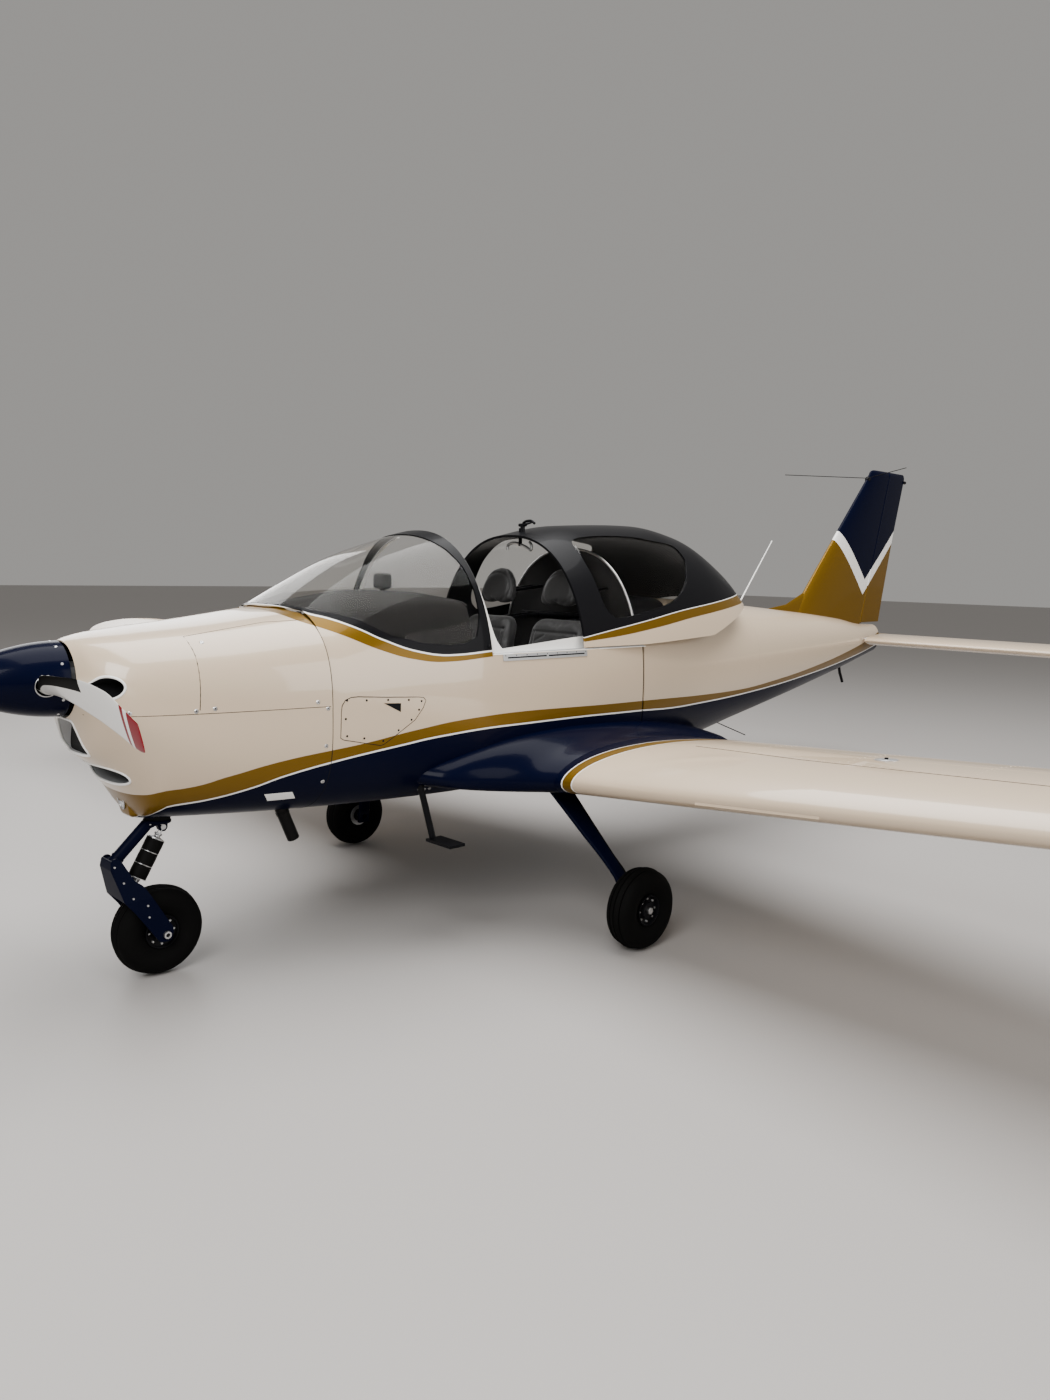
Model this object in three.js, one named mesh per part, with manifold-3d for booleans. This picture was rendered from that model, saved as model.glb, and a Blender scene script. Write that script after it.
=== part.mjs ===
// Two-seat low-wing trainer aircraft, parked on its three wheels with the canopy slid open.
// Millimetres, +Z up, nose toward -X, +Y to starboard, origin on the floor under the middle of the box.
// Inside the aircraft group, x is the station: the distance aft of the spinner's tip.
import * as THREE from 'three';
import { mergeVertices } from 'three/addons/utils/BufferGeometryUtils.js';
import Module from 'manifold-3d';

const wasm = await Module();
wasm.setup();

// Overall sizes
const LENGTH = 6730;
const HALF_SPAN = 4500;
const SEAT_GAP = 0.3;

// Stations of the body
const SPINNER_END = 405;
const COWL_FRONT = 415;
const COWL_REAR = 1235;
const FIREWALL_REAR = 1243;
const ARCH = 1981;
const BULKHEAD = 2990;
const BULKHEAD_THICKNESS = 14;
const AFT_JOINT = 4270;
const TAIL_END = 6300;
const COWL_SPLIT_Z = 1057;
const CANOPY_OPEN = 570;
const THRUST_Z = 1170;
const SKIN = 12;

// Body sections: station, bottom, widest height, top, half width, upper and lower roundness
const HULL = [
  [415, 1030, 1172, 1306, 150, 2.0, 2.0],
  [450, 905, 1150, 1316, 215, 2.2, 2.2],
  [520, 835, 1125, 1330, 280, 2.4, 2.3],
  [600, 720, 1100, 1340, 318, 2.5, 2.4],
  [660, 640, 1085, 1347, 338, 2.6, 2.4],
  [860, 622, 1050, 1368, 390, 2.8, 2.6],
  [1235, 600, 1000, 1416, 458, 3.0, 2.8],
  [1600, 588, 975, 1462, 520, 2.8, 2.9],
  [1981, 582, 970, 1485, 558, 2.6, 3.0],
  [2500, 580, 972, 1490, 560, 2.6, 3.0],
  [3000, 585, 985, 1478, 528, 2.6, 2.8],
  [3630, 612, 1010, 1445, 448, 2.5, 2.5],
  [4270, 694, 1042, 1410, 360, 2.4, 2.3],
  [5000, 800, 1080, 1356, 258, 2.2, 2.2],
  [5700, 915, 1110, 1296, 165, 2.1, 2.0],
  [6080, 990, 1125, 1244, 108, 2.0, 2.0],
  [6300, 1032, 1133, 1234, 70, 2.0, 2.0],
];

// The glazed body over the cabin with the canopy shut: station, top, upper roundness
const GLAZED_TOP = [
  [1206, 1417, 2.8], [1400, 1533, 2.5], [1600, 1636, 2.4], [1800, 1705, 2.3], [1981, 1752, 2.3],
  [2300, 1812, 2.3], [2816, 1834, 2.3], [3080, 1800, 2.3], [3400, 1664, 2.3], [3560, 1530, 2.3],
  [3640, 1440, 2.3],
];
const BODY_SIDES = 24;

// Side view of the line where the glazing meets the painted body: station, height
const GLAZING_LINE = [[1190, 1424], [1300, 1400], [1450, 1335], [1620, 1272], [1800, 1238], [1981, 1228]];
const SILL_Z = 1228;

// Wing
const WING_LE = 2145;
const WING_Z = 690;
const WING_Z_AT = 750;
const DIHEDRAL = Math.tan(THREE.MathUtils.degToRad(5));
const ROOT_CHORD = 1430;
const TAPER_START = 850;
const TIP_RIB = 4330;
const TIP_CHORD = 920;
const THICKNESS_RATIO = 0.14;
const WING_ROOT_Y = 380;
const FAIRING_EDGE = 760;
const SURFACE_CHORD = 285;
const FLAP = [830, 2560];
const AILERON = [2600, 4210];
const SURFACE_GAP = 6;
const AILERON_LIP = 30;
const FLAP_DROOP = 12;
const HINGE_DEPTH = 12;
const TIE_DOWN_X = 2600;
const TIE_DOWN_Y = 2700;

// Tail
const STAB_LE = 5929;
const STAB_Z = 1132;
const STAB_CHORD = 800;
const STAB_HALF_SPAN = 1450;
const STAB_PIVOT = 6125;
const TAB_CHORD = 110;
const TAB_HALF_SPAN = 900;
const FIN_BASE_Z = 1200;
const FIN_TOP_Z = 2364;
const HINGE_FOOT = [6096, 1252];
const HINGE_HEAD = [6387, 2286];

// Landing gear
const TYRE_RADIUS = 174;
const TYRE_WIDTH = 127;
const RIM_RADIUS = 66;
const NOSE_AXLE = 739;
const MAIN_AXLE = 2375;
const MAIN_TRACK_HALF = 1063;

const aircraft = new THREE.Group();
aircraft.position.x = -LENGTH / 2;

// Materials
const paint = (color, roughness = 0.25, metalness = 0.0) =>
  new THREE.MeshStandardMaterial({ color, roughness, metalness });
const ivory = paint(0xe9e4da);
const navy = paint(0x10162e);
const gold = paint(0x9a7418, 0.35, 0.4);
const black = paint(0x0c0c0e, 0.3);
const white = paint(0xf2f1ee, 0.3);
const rubber = paint(0x151515, 0.85);
const charcoal = paint(0x2b2a2b, 0.8);
const steel = paint(0xb4b5b6, 0.35, 0.9);
const castMetal = paint(0x6c6d70, 0.6, 0.6);
const glass = new THREE.MeshStandardMaterial({
  color: 0xdfe6e8, roughness: 0.05, transparent: true, opacity: 0.3,
});

// Solid helpers

function mergedOf(geometry) {
  const bare = geometry.clone();
  for (const name of Object.keys(bare.attributes)) {
    if (name !== 'position') bare.deleteAttribute(name);
  }
  return mergeVertices(bare, 1e-3);
}

function solidOf(geometry) {
  const merged = mergedOf(geometry);
  return new wasm.Manifold(new wasm.Mesh({
    numProp: 3,
    vertProperties: new Float32Array(merged.attributes.position.array),
    triVerts: new Uint32Array(merged.index.array),
  }));
}

function geometryOf(solid) {
  const mesh = solid.getMesh();
  const geometry = new THREE.BufferGeometry();
  geometry.setAttribute('position', new THREE.BufferAttribute(mesh.vertProperties, 3));
  geometry.setIndex(new THREE.BufferAttribute(mesh.triVerts, 1));
  geometry.computeVertexNormals();
  return geometry;
}

function addPart(name, material, solid) {
  const mesh = new THREE.Mesh(geometryOf(solid), material);
  mesh.name = name;
  aircraft.add(mesh);
}

const join = (solids) => solids.reduce((whole, next) => whole.add(next));

function placed(geometry, x, y, z, turn = [0, 0, 0]) {
  const matrix = new THREE.Matrix4().compose(
    new THREE.Vector3(x, y, z),
    new THREE.Quaternion().setFromEuler(new THREE.Euler(...turn)),
    new THREE.Vector3(1, 1, 1),
  );
  return solidOf(geometry.clone().applyMatrix4(matrix));
}

// Box from two corners
function block(low, high) {
  const size = high.map((value, i) => value - low[i]);
  const middle = high.map((value, i) => (value + low[i]) / 2);
  return placed(new THREE.BoxGeometry(...size), ...middle);
}

// Round bar between two points, with its own radius at each end
function bar(from, to, radius, endRadius = radius, sides = 12) {
  const start = new THREE.Vector3(...from);
  const end = new THREE.Vector3(...to);
  const length = start.distanceTo(end);
  const geometry = new THREE.CylinderGeometry(endRadius, radius, length, sides);
  const direction = end.clone().sub(start).normalize();
  const turn = new THREE.Quaternion().setFromUnitVectors(new THREE.Vector3(0, 1, 0), direction);
  geometry.applyQuaternion(turn);
  const middle = start.add(end).multiplyScalar(0.5);
  geometry.translate(middle.x, middle.y, middle.z);
  return solidOf(geometry);
}

// Skin over a row of rings that all have the same number of points, closed at both ends
function loft(rings) {
  const count = rings[0].length;
  const points = rings.flat();
  const faces = [];
  for (let r = 0; r < rings.length - 1; r += 1) {
    for (let i = 0; i < count; i += 1) {
      const a = r * count + i;
      const b = r * count + ((i + 1) % count);
      faces.push(a, b, a + count, b, b + count, a + count);
    }
  }
  for (const [r, flip] of [[0, true], [rings.length - 1, false]]) {
    const centre = new THREE.Vector3();
    rings[r].forEach((point) => centre.add(point));
    points.push(centre.divideScalar(count));
    for (let i = 0; i < count; i += 1) {
      const a = r * count + i;
      const b = r * count + ((i + 1) % count);
      faces.push(...(flip ? [b, a, points.length - 1] : [a, b, points.length - 1]));
    }
  }
  const geometry = new THREE.BufferGeometry().setFromPoints(points);
  geometry.setIndex(faces);
  return outward(geometry);
}

// Solid of a geometry whose faces may all point inwards
function outward(geometry) {
  const solid = solidOf(geometry);
  if (solid.volume() > 0) return solid;
  const merged = mergedOf(geometry);
  const index = merged.index.array;
  const turned = [];
  for (let i = 0; i < index.length; i += 3) {
    turned.push(index[i], index[i + 2], index[i + 1]);
  }
  merged.setIndex(turned);
  return solidOf(merged);
}

// Plate with a side-view outline [station, height], from yLow to yHigh
function sidePlate(outline, yLow, yHigh) {
  const shape = new THREE.Shape(outline.map(([x, z]) => new THREE.Vector2(x, z)));
  const geometry = new THREE.ExtrudeGeometry(shape, { depth: yHigh - yLow, bevelEnabled: false });
  geometry.rotateX(Math.PI / 2);
  geometry.translate(0, yHigh, 0);
  return solidOf(geometry);
}

// Body sections

function interpolate(table, station, column) {
  const last = table.length - 1;
  if (station <= table[0][0]) return table[0][column];
  if (station >= table[last][0]) return table[last][column];
  const next = table.findIndex((row) => row[0] > station);
  const [low, high] = [table[next - 1], table[next]];
  const share = (station - low[0]) / (high[0] - low[0]);
  return low[column] + share * (high[column] - low[column]);
}

function bodyRing(station, inset, glazed, sides = BODY_SIDES) {
  const [bottom, middle, hullTop, half, upper, lower] = [1, 2, 3, 4, 5, 6].map((column) =>
    interpolate(HULL, station, column));
  const top = glazed ? Math.max(hullTop, interpolate(GLAZED_TOP, station, 1)) : hullTop;
  const power = glazed ? interpolate(GLAZED_TOP, station, 2) : upper;
  const ring = [];
  for (let i = 0; i < sides; i += 1) {
    const angle = (2 * Math.PI * i) / sides;
    const [across, up] = [Math.cos(angle), Math.sin(angle)];
    const roundness = up > 0 ? power : lower;
    const rise = up > 0 ? top - middle : middle - bottom;
    const y = Math.sign(across) * Math.abs(across) ** (2 / roundness) * (half - inset);
    const z = middle + Math.sign(up) * Math.abs(up) ** (2 / roundness) * (rise - inset);
    ring.push(new THREE.Vector3(station, y, z));
  }
  return ring;
}

function bodySolid(from, to, inset = 0, glazed = false, sides = BODY_SIDES) {
  const stations = [from];
  const table = glazed ? [...HULL, ...GLAZED_TOP] : HULL;
  const inner = table.map((row) => row[0]).filter((s) => s > from + 15 && s < to - 15);
  stations.push(...[...new Set(inner)].sort((a, b) => a - b), to);
  return loft(stations.map((station) => bodyRing(station, inset, glazed, sides)));
}

const bigBox = (zLow, zHigh) => block([-500, -2000, zLow], [LENGTH + 500, 2000, zHigh]);

// Cowling, a shell open at the back, with its openings cut
const shaftHole = bar([380, 0, THRUST_Z], [480, 0, THRUST_Z], 75, 75, 20);
const oval = (x, y, z, halfY, halfZ, depth) => {
  const geometry = new THREE.CylinderGeometry(1, 1, depth, 20);
  geometry.rotateZ(Math.PI / 2);
  geometry.scale(1, halfY, halfZ);
  return placed(geometry, x, y, z);
};
const cowlOpenings = join([
  shaftHole,
  oval(480, -232, 1152, 44, 36, 180),
  oval(480, 232, 1152, 44, 36, 180),
  oval(440, 0, 962, 150, 56, 150),
  oval(560, 0, 820, 190, 36, 170),
]);

// Chin housing under the scoop, with a flat leaning front: height, front, half width there, side, half width
const CHIN = [
  [752, 604, 84, 680, 190], [700, 617, 66, 685, 180], [650, 628, 44, 690, 105], [637, 642, 34, 690, 80],
];
const CHIN_REAR = 698;
const chin = loft(CHIN.map(([z, front, half, side, sideHalf]) => [
  [front, -half], [front, half], [side, sideHalf], [CHIN_REAR, sideHalf], [CHIN_REAR, -sideHalf],
  [side, -sideHalf],
].map(([x, y]) => new THREE.Vector3(x, y, z))));
const LAMP = { x: 616.5, z: 703, halfY: 26, halfZ: 35, lean: 0.24, depth: 16 };
const lampPlug = (grow) => {
  const geometry = new THREE.CylinderGeometry(1, 1, LAMP.depth + grow, 20);
  geometry.rotateZ(Math.PI / 2);
  geometry.scale(1, LAMP.halfY + grow, LAMP.halfZ + grow);
  geometry.rotateY(-LAMP.lean);
  return placed(geometry, LAMP.x + LAMP.depth / 2 - 3, 0, LAMP.z);
};
const cowlShell = bodySolid(COWL_FRONT, COWL_REAR)
  .subtract(bodySolid(COWL_FRONT + SKIN, COWL_REAR + 50, SKIN))
  .subtract(cowlOpenings);
addPart('cowling_upper', ivory, cowlShell.intersect(bigBox(COWL_SPLIT_Z + SEAT_GAP, 3000)));
addPart('cowling_lower', ivory, cowlShell.intersect(bigBox(-100, COWL_SPLIT_Z))
  .add(chin)
  .subtract(lampPlug(SEAT_GAP)));
addPart('landing_lamp', glass, lampPlug(0));

// Firewall and engine
const firewall = bodySolid(COWL_REAR + SEAT_GAP, FIREWALL_REAR, 1);
addPart('firewall', steel, firewall);
const ENGINE = { front: 600, rear: 1090, half: 245, low: 925, high: 1258 };
addPart('engine', castMetal, join([
  block([ENGINE.front, -ENGINE.half, ENGINE.low], [ENGINE.rear, ENGINE.half, ENGINE.high]),
  bar([SPINNER_END + 0.5, 0, THRUST_Z], [ENGINE.front + 5, 0, THRUST_Z], 55, 70, 16),
  ...[[-1, 1], [1, 1], [-1, -1], [1, -1]].map(([side, level]) => bar(
    [ENGINE.rear - 5, side * 180, 1090 + level * 120],
    [COWL_REAR, side * 240, 1030 + level * 190],
    16,
  )),
]).subtract(block([COWL_REAR, -600, 400], [COWL_REAR + 100, 600, 1500])));

// Spinner, hub and blades
const SPINNER_RADIUS = 134;
const BLADE_STATION = 325;
const BLADE_TILT = THREE.MathUtils.degToRad(5);
const ogive = [];
const OGIVE_STEPS = 6;
for (let i = 0; i <= OGIVE_STEPS; i += 1) {
  const share = i / OGIVE_STEPS;
  ogive.push([SPINNER_END * share, SPINNER_RADIUS * Math.sin((share * Math.PI) / 2) ** 0.82]);
}
const lathePoints = (rows) => rows.map(([x, r]) => new THREE.Vector2(r, x));
function turnedAboutX(rows, sides = 20) {
  const geometry = new THREE.LatheGeometry(lathePoints(rows), sides);
  geometry.rotateZ(-Math.PI / 2);
  geometry.translate(0, 0, THRUST_Z);
  return outward(geometry);
}
const PLATE_FRONT = 396;
const PLATE_RADIUS = SPINNER_RADIUS - 7;
const spinnerOuter = turnedAboutX([...ogive, [SPINNER_END, 0]]);
const spinnerInner = turnedAboutX([
  [8, 0], ...ogive.slice(1).map(([x, r]) => [x + 8, Math.max(r - 6, 1)]), [SPINNER_END + 30, 0],
]);
const bladeAxis = new THREE.Vector3(0, -Math.cos(BLADE_TILT), -Math.sin(BLADE_TILT));
const acrossBlade = new THREE.Vector3(0, Math.sin(BLADE_TILT), -Math.cos(BLADE_TILT));

// Blade sections: radius, chord, thickness, pitch in degrees, middle's distance behind the blade's axis
const BLADE = [
  [50, 56, 54, 50, 0], [135, 58, 52, 50, -1], [170, 76, 44, 47, -14], [230, 98, 32, 42, -30],
  [340, 108, 22, 34, -38], [520, 136, 16, 25, -42], [700, 146, 12, 19, -30], [820, 118, 9, 16, 0],
  [875, 98, 6, 15, 8], [885, 92, 4, 15, 8],
];
const BLADE_RING = 12;
const ROOT_HOLE_RADIUS = 36;
function bladeRing([radius, chord, thickness, pitch, middle], side) {
  const turn = THREE.MathUtils.degToRad(pitch);
  const ring = [];
  for (let i = 0; i < BLADE_RING; i += 1) {
    const angle = (2 * Math.PI * i) / BLADE_RING;
    const along = (chord / 2) * Math.cos(angle) + middle;
    const through = (thickness / 2) * Math.sin(angle);
    const forward = through * Math.cos(turn) - along * Math.sin(turn);
    const sideways = along * Math.cos(turn) + through * Math.sin(turn);
    ring.push(new THREE.Vector3(BLADE_STATION - forward, 0, THRUST_Z)
      .addScaledVector(bladeAxis, side * radius)
      .addScaledVector(acrossBlade, side * sideways));
  }
  return ring;
}
const bladeSolids = [1, -1].map((side) => loft(BLADE.map((row) => bladeRing(row, side))));
addPart('propeller', white, join([
  ...bladeSolids,
  turnedAboutX([[290, 0], [290, 60], [PLATE_FRONT, 60], [PLATE_FRONT, PLATE_RADIUS],
    [SPINNER_END, PLATE_RADIUS], [SPINNER_END, 0]]),
]));
const rootHoles = [1, -1].map((side) => {
  const tip = bladeAxis.clone().multiplyScalar(side * 200);
  return bar([BLADE_STATION, 0, THRUST_Z], [BLADE_STATION, tip.y, THRUST_Z + tip.z],
    ROOT_HOLE_RADIUS, ROOT_HOLE_RADIUS, 16);
});
addPart('spinner', navy, spinnerOuter.subtract(spinnerInner).subtract(join(rootHoles))
  .subtract(turnedAboutX([[PLATE_FRONT - 0.3, 0], [PLATE_FRONT - 0.3, PLATE_RADIUS + SEAT_GAP],
    [SPINNER_END + 5, PLATE_RADIUS + SEAT_GAP], [SPINNER_END + 5, 0]])));

// Cabin body: a trough with the skin of the sides and belly
const glazingCutter = sidePlate([
  ...GLAZING_LINE, [BULKHEAD + 20, SILL_Z], [BULKHEAD + 20, 3000], [1190, 3000],
], -1500, 1500);
const CABIN_WALL = 22;
const cabinFront = FIREWALL_REAR + SEAT_GAP;
addPart('cabin_shell', ivory, bodySolid(cabinFront, BULKHEAD, 0, true)
  .subtract(bodySolid(cabinFront - 20, BULKHEAD + 20, CABIN_WALL, true))
  .subtract(glazingCutter));

// Cabin floor, seat carrier, panel and bulkhead, cut to fit the inside of the shell
const cabinSpace = bodySolid(cabinFront - 20, BULKHEAD + 20, CABIN_WALL + 2 * SEAT_GAP, true);
const FLOOR_Z = 650;
const FLOOR_THICKNESS = 16;
addPart('cabin_floor', charcoal, cabinSpace.intersect(
  block([cabinFront, -800, FLOOR_Z - FLOOR_THICKNESS], [BULKHEAD - 1, 800, FLOOR_Z]),
));
const SEAT_BASE = { front: 2150, rear: 2720, top: 850 };
addPart('seat_carrier', charcoal, cabinSpace.intersect(
  block([SEAT_BASE.front, -800, FLOOR_Z + SEAT_GAP], [SEAT_BASE.rear, 800, SEAT_BASE.top]),
));
const bulkheadOuter = loft([0, BULKHEAD_THICKNESS].map((depth) =>
  bodyRing(BULKHEAD + SEAT_GAP, 0, true).map((point) => new THREE.Vector3(
    BULKHEAD + SEAT_GAP + depth,
    point.y * (point.z > SILL_Z ? 0.93 : 0.985),
    point.z > SILL_Z ? SILL_Z + (point.z - SILL_Z) * 0.8 : point.z,
  ))));
addPart('rear_bulkhead', charcoal, bulkheadOuter);

const PANEL = 1850;
const PANEL_THICKNESS = 30;
const panelOutline = cabinSpace.intersect(block([PANEL, -800, 950], [PANEL + PANEL_THICKNESS, 800, 1340]));
addPart('instrument_panel', charcoal, panelOutline);
const GLARE_FRONT = 1270;
const GLARE_REAR = 1900;
const glareTop = [[GLARE_FRONT, 1385], [1500, 1405], [1750, 1425], [GLARE_REAR, 1405]];
const glareLow = [[GLARE_REAR, 1345], [1750, 1345], [1500, 1345], [GLARE_FRONT, 1350]];
const glareshield = cabinSpace.intersect(sidePlate([...glareTop, ...glareLow], -460, 460));
addPart('glareshield', charcoal, glareshield);
addPart('centre_console', charcoal, block(
  [PANEL - 200, -90, FLOOR_Z + SEAT_GAP], [2095, 90, 900],
));
const SEAT_Y = 255;
const HEADREST_Y = 225;
const CUSHION = { front: 2165, rear: 2508, top: 960 };
const backLow = SEAT_BASE.top + SEAT_GAP;
const backOutline = [[2518, backLow], [2607, backLow], [2748, 1360], [2648, 1370]];
const headrestOutline = [[2650, 1368], [2746, 1358], [2768, 1560], [2740, 1595], [2700, 1595], [2680, 1560]];
for (const [side, name] of [[-1, 'port'], [1, 'starboard']]) {
  const y = side * SEAT_Y;
  addPart(`seat_cushion_${name}`, charcoal, block(
    [CUSHION.front, y - 225, SEAT_BASE.top + SEAT_GAP],
    [CUSHION.rear, y + 225, CUSHION.top],
  ));
  addPart(`seat_back_${name}`, charcoal, join([
    sidePlate(backOutline, y - 215, y + 215),
    sidePlate(headrestOutline, side * HEADREST_Y - 105, side * HEADREST_Y + 105),
  ]));
}
addPart('control_sticks', black, join([
  bar([2120, -SEAT_Y - 20, FLOOR_Z + 15.4], [2120, SEAT_Y + 20, FLOOR_Z + 15.4], 15),
  ...[-1, 1].map((side) => bar(
    [2120, side * SEAT_Y, FLOOR_Z + 12], [2100, side * SEAT_Y, 950], 12)),
  ...[-1, 1].map((side) => bar(
    [2100, side * SEAT_Y, 945], [2090, side * SEAT_Y, 1060], 20, 17)),
]));
const PEDAL_Y = 195;
const pedalPlaces = [-1, 1].flatMap((side) => [-1, 1].map((foot) => side * PEDAL_Y + foot * 70));
addPart('rudder_pedals', steel, join([
  block([1525, -PEDAL_Y - 100, FLOOR_Z + SEAT_GAP], [1555, PEDAL_Y + 100, FLOOR_Z + 24]),
  ...pedalPlaces.map((y) => bar([1540, y, FLOOR_Z + 12], [1500, y, 800], 9)),
  ...pedalPlaces.map((y) => block([1488, y - 40, 780], [1508, y + 40, 880])),
]));

// Windscreen: black frame and clear pane, cut from one thin skin
const archFront = ARCH - 78;
const paneOutline = (margin) => [
  ...GLAZING_LINE.slice(0, 5).map(([x, z]) => [x + 34 + margin, z + 26 + margin]),
  [archFront - margin, 1290 + margin], [archFront - margin, 3000], [1224 + margin, 3000],
];
const screenSkin = bodySolid(1206, ARCH, 0, true)
  .subtract(bodySolid(1190, ARCH + 20, 9, true));
const aboveLine = sidePlate([
  ...GLAZING_LINE.map(([x, z]) => [x, z + SEAT_GAP]), [ARCH, 3000], [1190, 3000],
], -1500, 1500);
const paneCutter = sidePlate(paneOutline(0), -1500, 1500);
addPart('windscreen_frame', black, screenSkin.intersect(aboveLine).subtract(paneCutter));
const paneSkin = bodySolid(1206, ARCH, 1.5, true)
  .subtract(bodySolid(1190, ARCH + 20, 7.5, true));
addPart('windscreen_glass', glass, paneSkin.intersect(sidePlate(paneOutline(0.5), -1500, 1500)));

// Canopy, modelled shut and slid aft to where it stands
const CANOPY_FRONT = ARCH + 8;
const CANOPY_REAR = 3632;
const RAIL_TOP = 1236;
const SKIRT_Z = RAIL_TOP + 2 * SEAT_GAP;
const REAR_RAIL_TOP = 1450;
const SKIRT_LINE = [
  [CANOPY_FRONT - 1, SKIRT_Z], [2420, SKIRT_Z], [3030, 1262], [3330, 1352], [3560, 1434],
  [3572, REAR_RAIL_TOP + 2 * SEAT_GAP], [CANOPY_REAR + 20, REAR_RAIL_TOP + 2 * SEAT_GAP],
];
const aboveSkirt = sidePlate([
  ...SKIRT_LINE, [CANOPY_REAR + 20, 3000], [CANOPY_FRONT - 1, 3000],
], -1500, 1500);
const canopySkin = bodySolid(CANOPY_FRONT, CANOPY_REAR, 0, true)
  .subtract(bodySolid(CANOPY_FRONT - 20, CANOPY_REAR - 26, 14, true))
  .intersect(aboveSkirt);
const ROOF_HALF = 190;
const sideWindow = (margin) => sidePlate([
  [2070 + margin, 1345 + margin], [2560, 1332 + margin], [2900, 1368 + margin],
  [3100, 1440 + margin], [3180 - margin, 1530], [3110 - margin, 1650 - margin],
  [2900, 1752 - margin], [2500, 1775 - margin], [2050 + margin, 1705 - margin],
], -1500, 1500).subtract(block(
  [1900, -ROOF_HALF - margin, 1000], [3700, ROOF_HALF + margin, 2000],
));
const slide = (solid) => solid.translate([CANOPY_OPEN, 0, 0]);
const tailShoe = block([3570, -16, REAR_RAIL_TOP + 2 * SEAT_GAP], [3625, 16, 1475]);
addPart('canopy_frame', black, slide(canopySkin.subtract(sideWindow(0)).add(tailShoe)));
for (const [side, name] of [[-1, 'port'], [1, 'starboard']]) {
  addPart(`canopy_rail_${name}`, steel, block(
    [ARCH + 10, Math.min(side * 514, side * 534), SILL_Z + SEAT_GAP],
    [BULKHEAD - 10, Math.max(side * 514, side * 534), RAIL_TOP],
  ));
}
const canopyPane = bodySolid(CANOPY_FRONT, CANOPY_REAR, 3, true)
  .subtract(bodySolid(CANOPY_FRONT - 20, CANOPY_REAR + 20, 9, true))
  .intersect(sideWindow(0.5));
addPart('canopy_window_port', glass, slide(canopyPane.intersect(block([0, -2000, 0], [6000, -10, 3000]))));
addPart('canopy_window_starboard', glass, slide(canopyPane.intersect(block([0, 10, 0], [6000, 2000, 3000]))));

addPart('canopy_handle', black, slide(join([
  bar([2080, 0, 1770], [2080, 0, 1812], 12, 12, 10),
  bar([2080, 0, 1806], [2140, 0, 1822], 8, 6, 8),
  bar([2080, -24, 1806], [2080, 24, 1806], 8, 8, 8),
]).subtract(bodySolid(CANOPY_FRONT, CANOPY_REAR, -SEAT_GAP, true))));

// Rear body: skins open at both ends
const aftFront = BULKHEAD + SEAT_GAP + BULKHEAD_THICKNESS + SEAT_GAP;
addPart('aft_fuselage', ivory, bodySolid(aftFront, AFT_JOINT)
  .add(block([3560, -12, 1400], [AFT_JOINT - 40, 12, REAR_RAIL_TOP]))
  .subtract(bodySolid(aftFront - 20, AFT_JOINT + 20, SKIN)));
const PIN_RADIUS = 8;
const SURFACE_PIN = 5;
const PIN_CLEARANCE = 1;
const PIN_SIDES = 10;
const PIN_REACH = 30;
const BORE_REACH = PIN_REACH + 3;
const hingeAt = (z) => {
  const share = (z - HINGE_FOOT[1]) / (HINGE_HEAD[1] - HINGE_FOOT[1]);
  return HINGE_FOOT[0] + share * (HINGE_HEAD[0] - HINGE_FOOT[0]);
};
const rudderPin = (radius, low, high) => bar([hingeAt(low), 0, low], [hingeAt(high), 0, high], radius);
const tubeBore = bar([STAB_PIVOT, -300, STAB_Z], [STAB_PIVOT, 300, STAB_Z], 30, 30, 16);
addPart('tail_cone', ivory, bodySolid(AFT_JOINT + SEAT_GAP, TAIL_END)
  .subtract(bodySolid(AFT_JOINT - 20, TAIL_END - 20, 10))
  .subtract(tubeBore)
  .add(rudderPin(PIN_RADIUS, 1228, 1288)));

// Wing sections

// Half thickness of an aerofoil of unit chord and thickness, and the rise of its middle line
const halfThickness = (x) => 5 * (0.2969 * Math.sqrt(x) - 0.126 * x - 0.3516 * x ** 2
  + 0.2843 * x ** 3 - 0.1036 * x ** 4);
const camber = (x) => 0.12 * x * (1 - x);

// Points of an aerofoil: chord share, half thickness with its sign, rise of the middle line
function foil(count) {
  const points = [];
  for (let i = 0; i < 2 * count; i += 1) {
    const x = (1 + Math.cos((Math.PI * i) / count)) / 2;
    points.push([x, (i <= count ? 1 : -1) * halfThickness(x), camber(x)]);
  }
  return points;
}
const WING_FOIL = foil(11);

function wingChord(y) {
  if (y < TAPER_START) return ROOT_CHORD;
  const share = (y - TAPER_START) / (TIP_RIB - TAPER_START);
  return ROOT_CHORD + share * (TIP_CHORD - ROOT_CHORD);
}
const wingZ = (y) => WING_Z + (y - WING_Z_AT) * DIHEDRAL;
const trailingEdge = (y) => WING_LE + wingChord(y);

function wingRing(y, side, chord = wingChord(y), front = WING_LE, z = wingZ(y), ratio = THICKNESS_RATIO) {
  return WING_FOIL.map(([x, half, rise]) => new THREE.Vector3(
    front + x * chord,
    side * y,
    z + chord * (half * ratio + rise),
  ));
}

const hullBlock = bodySolid(COWL_FRONT, TAIL_END, -SEAT_GAP)
  .add(bodySolid(cabinFront, BULKHEAD, -2 * SEAT_GAP, true));
function wingSolid(side) {
  const tip = [
    wingRing(TIP_RIB + 90, side, 840, WING_LE + 40, wingZ(TIP_RIB + 90) + 22),
    wingRing(HALF_SPAN, side, 620, WING_LE + 170, wingZ(HALF_SPAN) + 66, 0.06),
  ];
  return loft([
    ...[WING_ROOT_Y, TAPER_START, TIP_RIB].map((y) => wingRing(y, side)),
    ...tip,
  ]);
}

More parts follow.
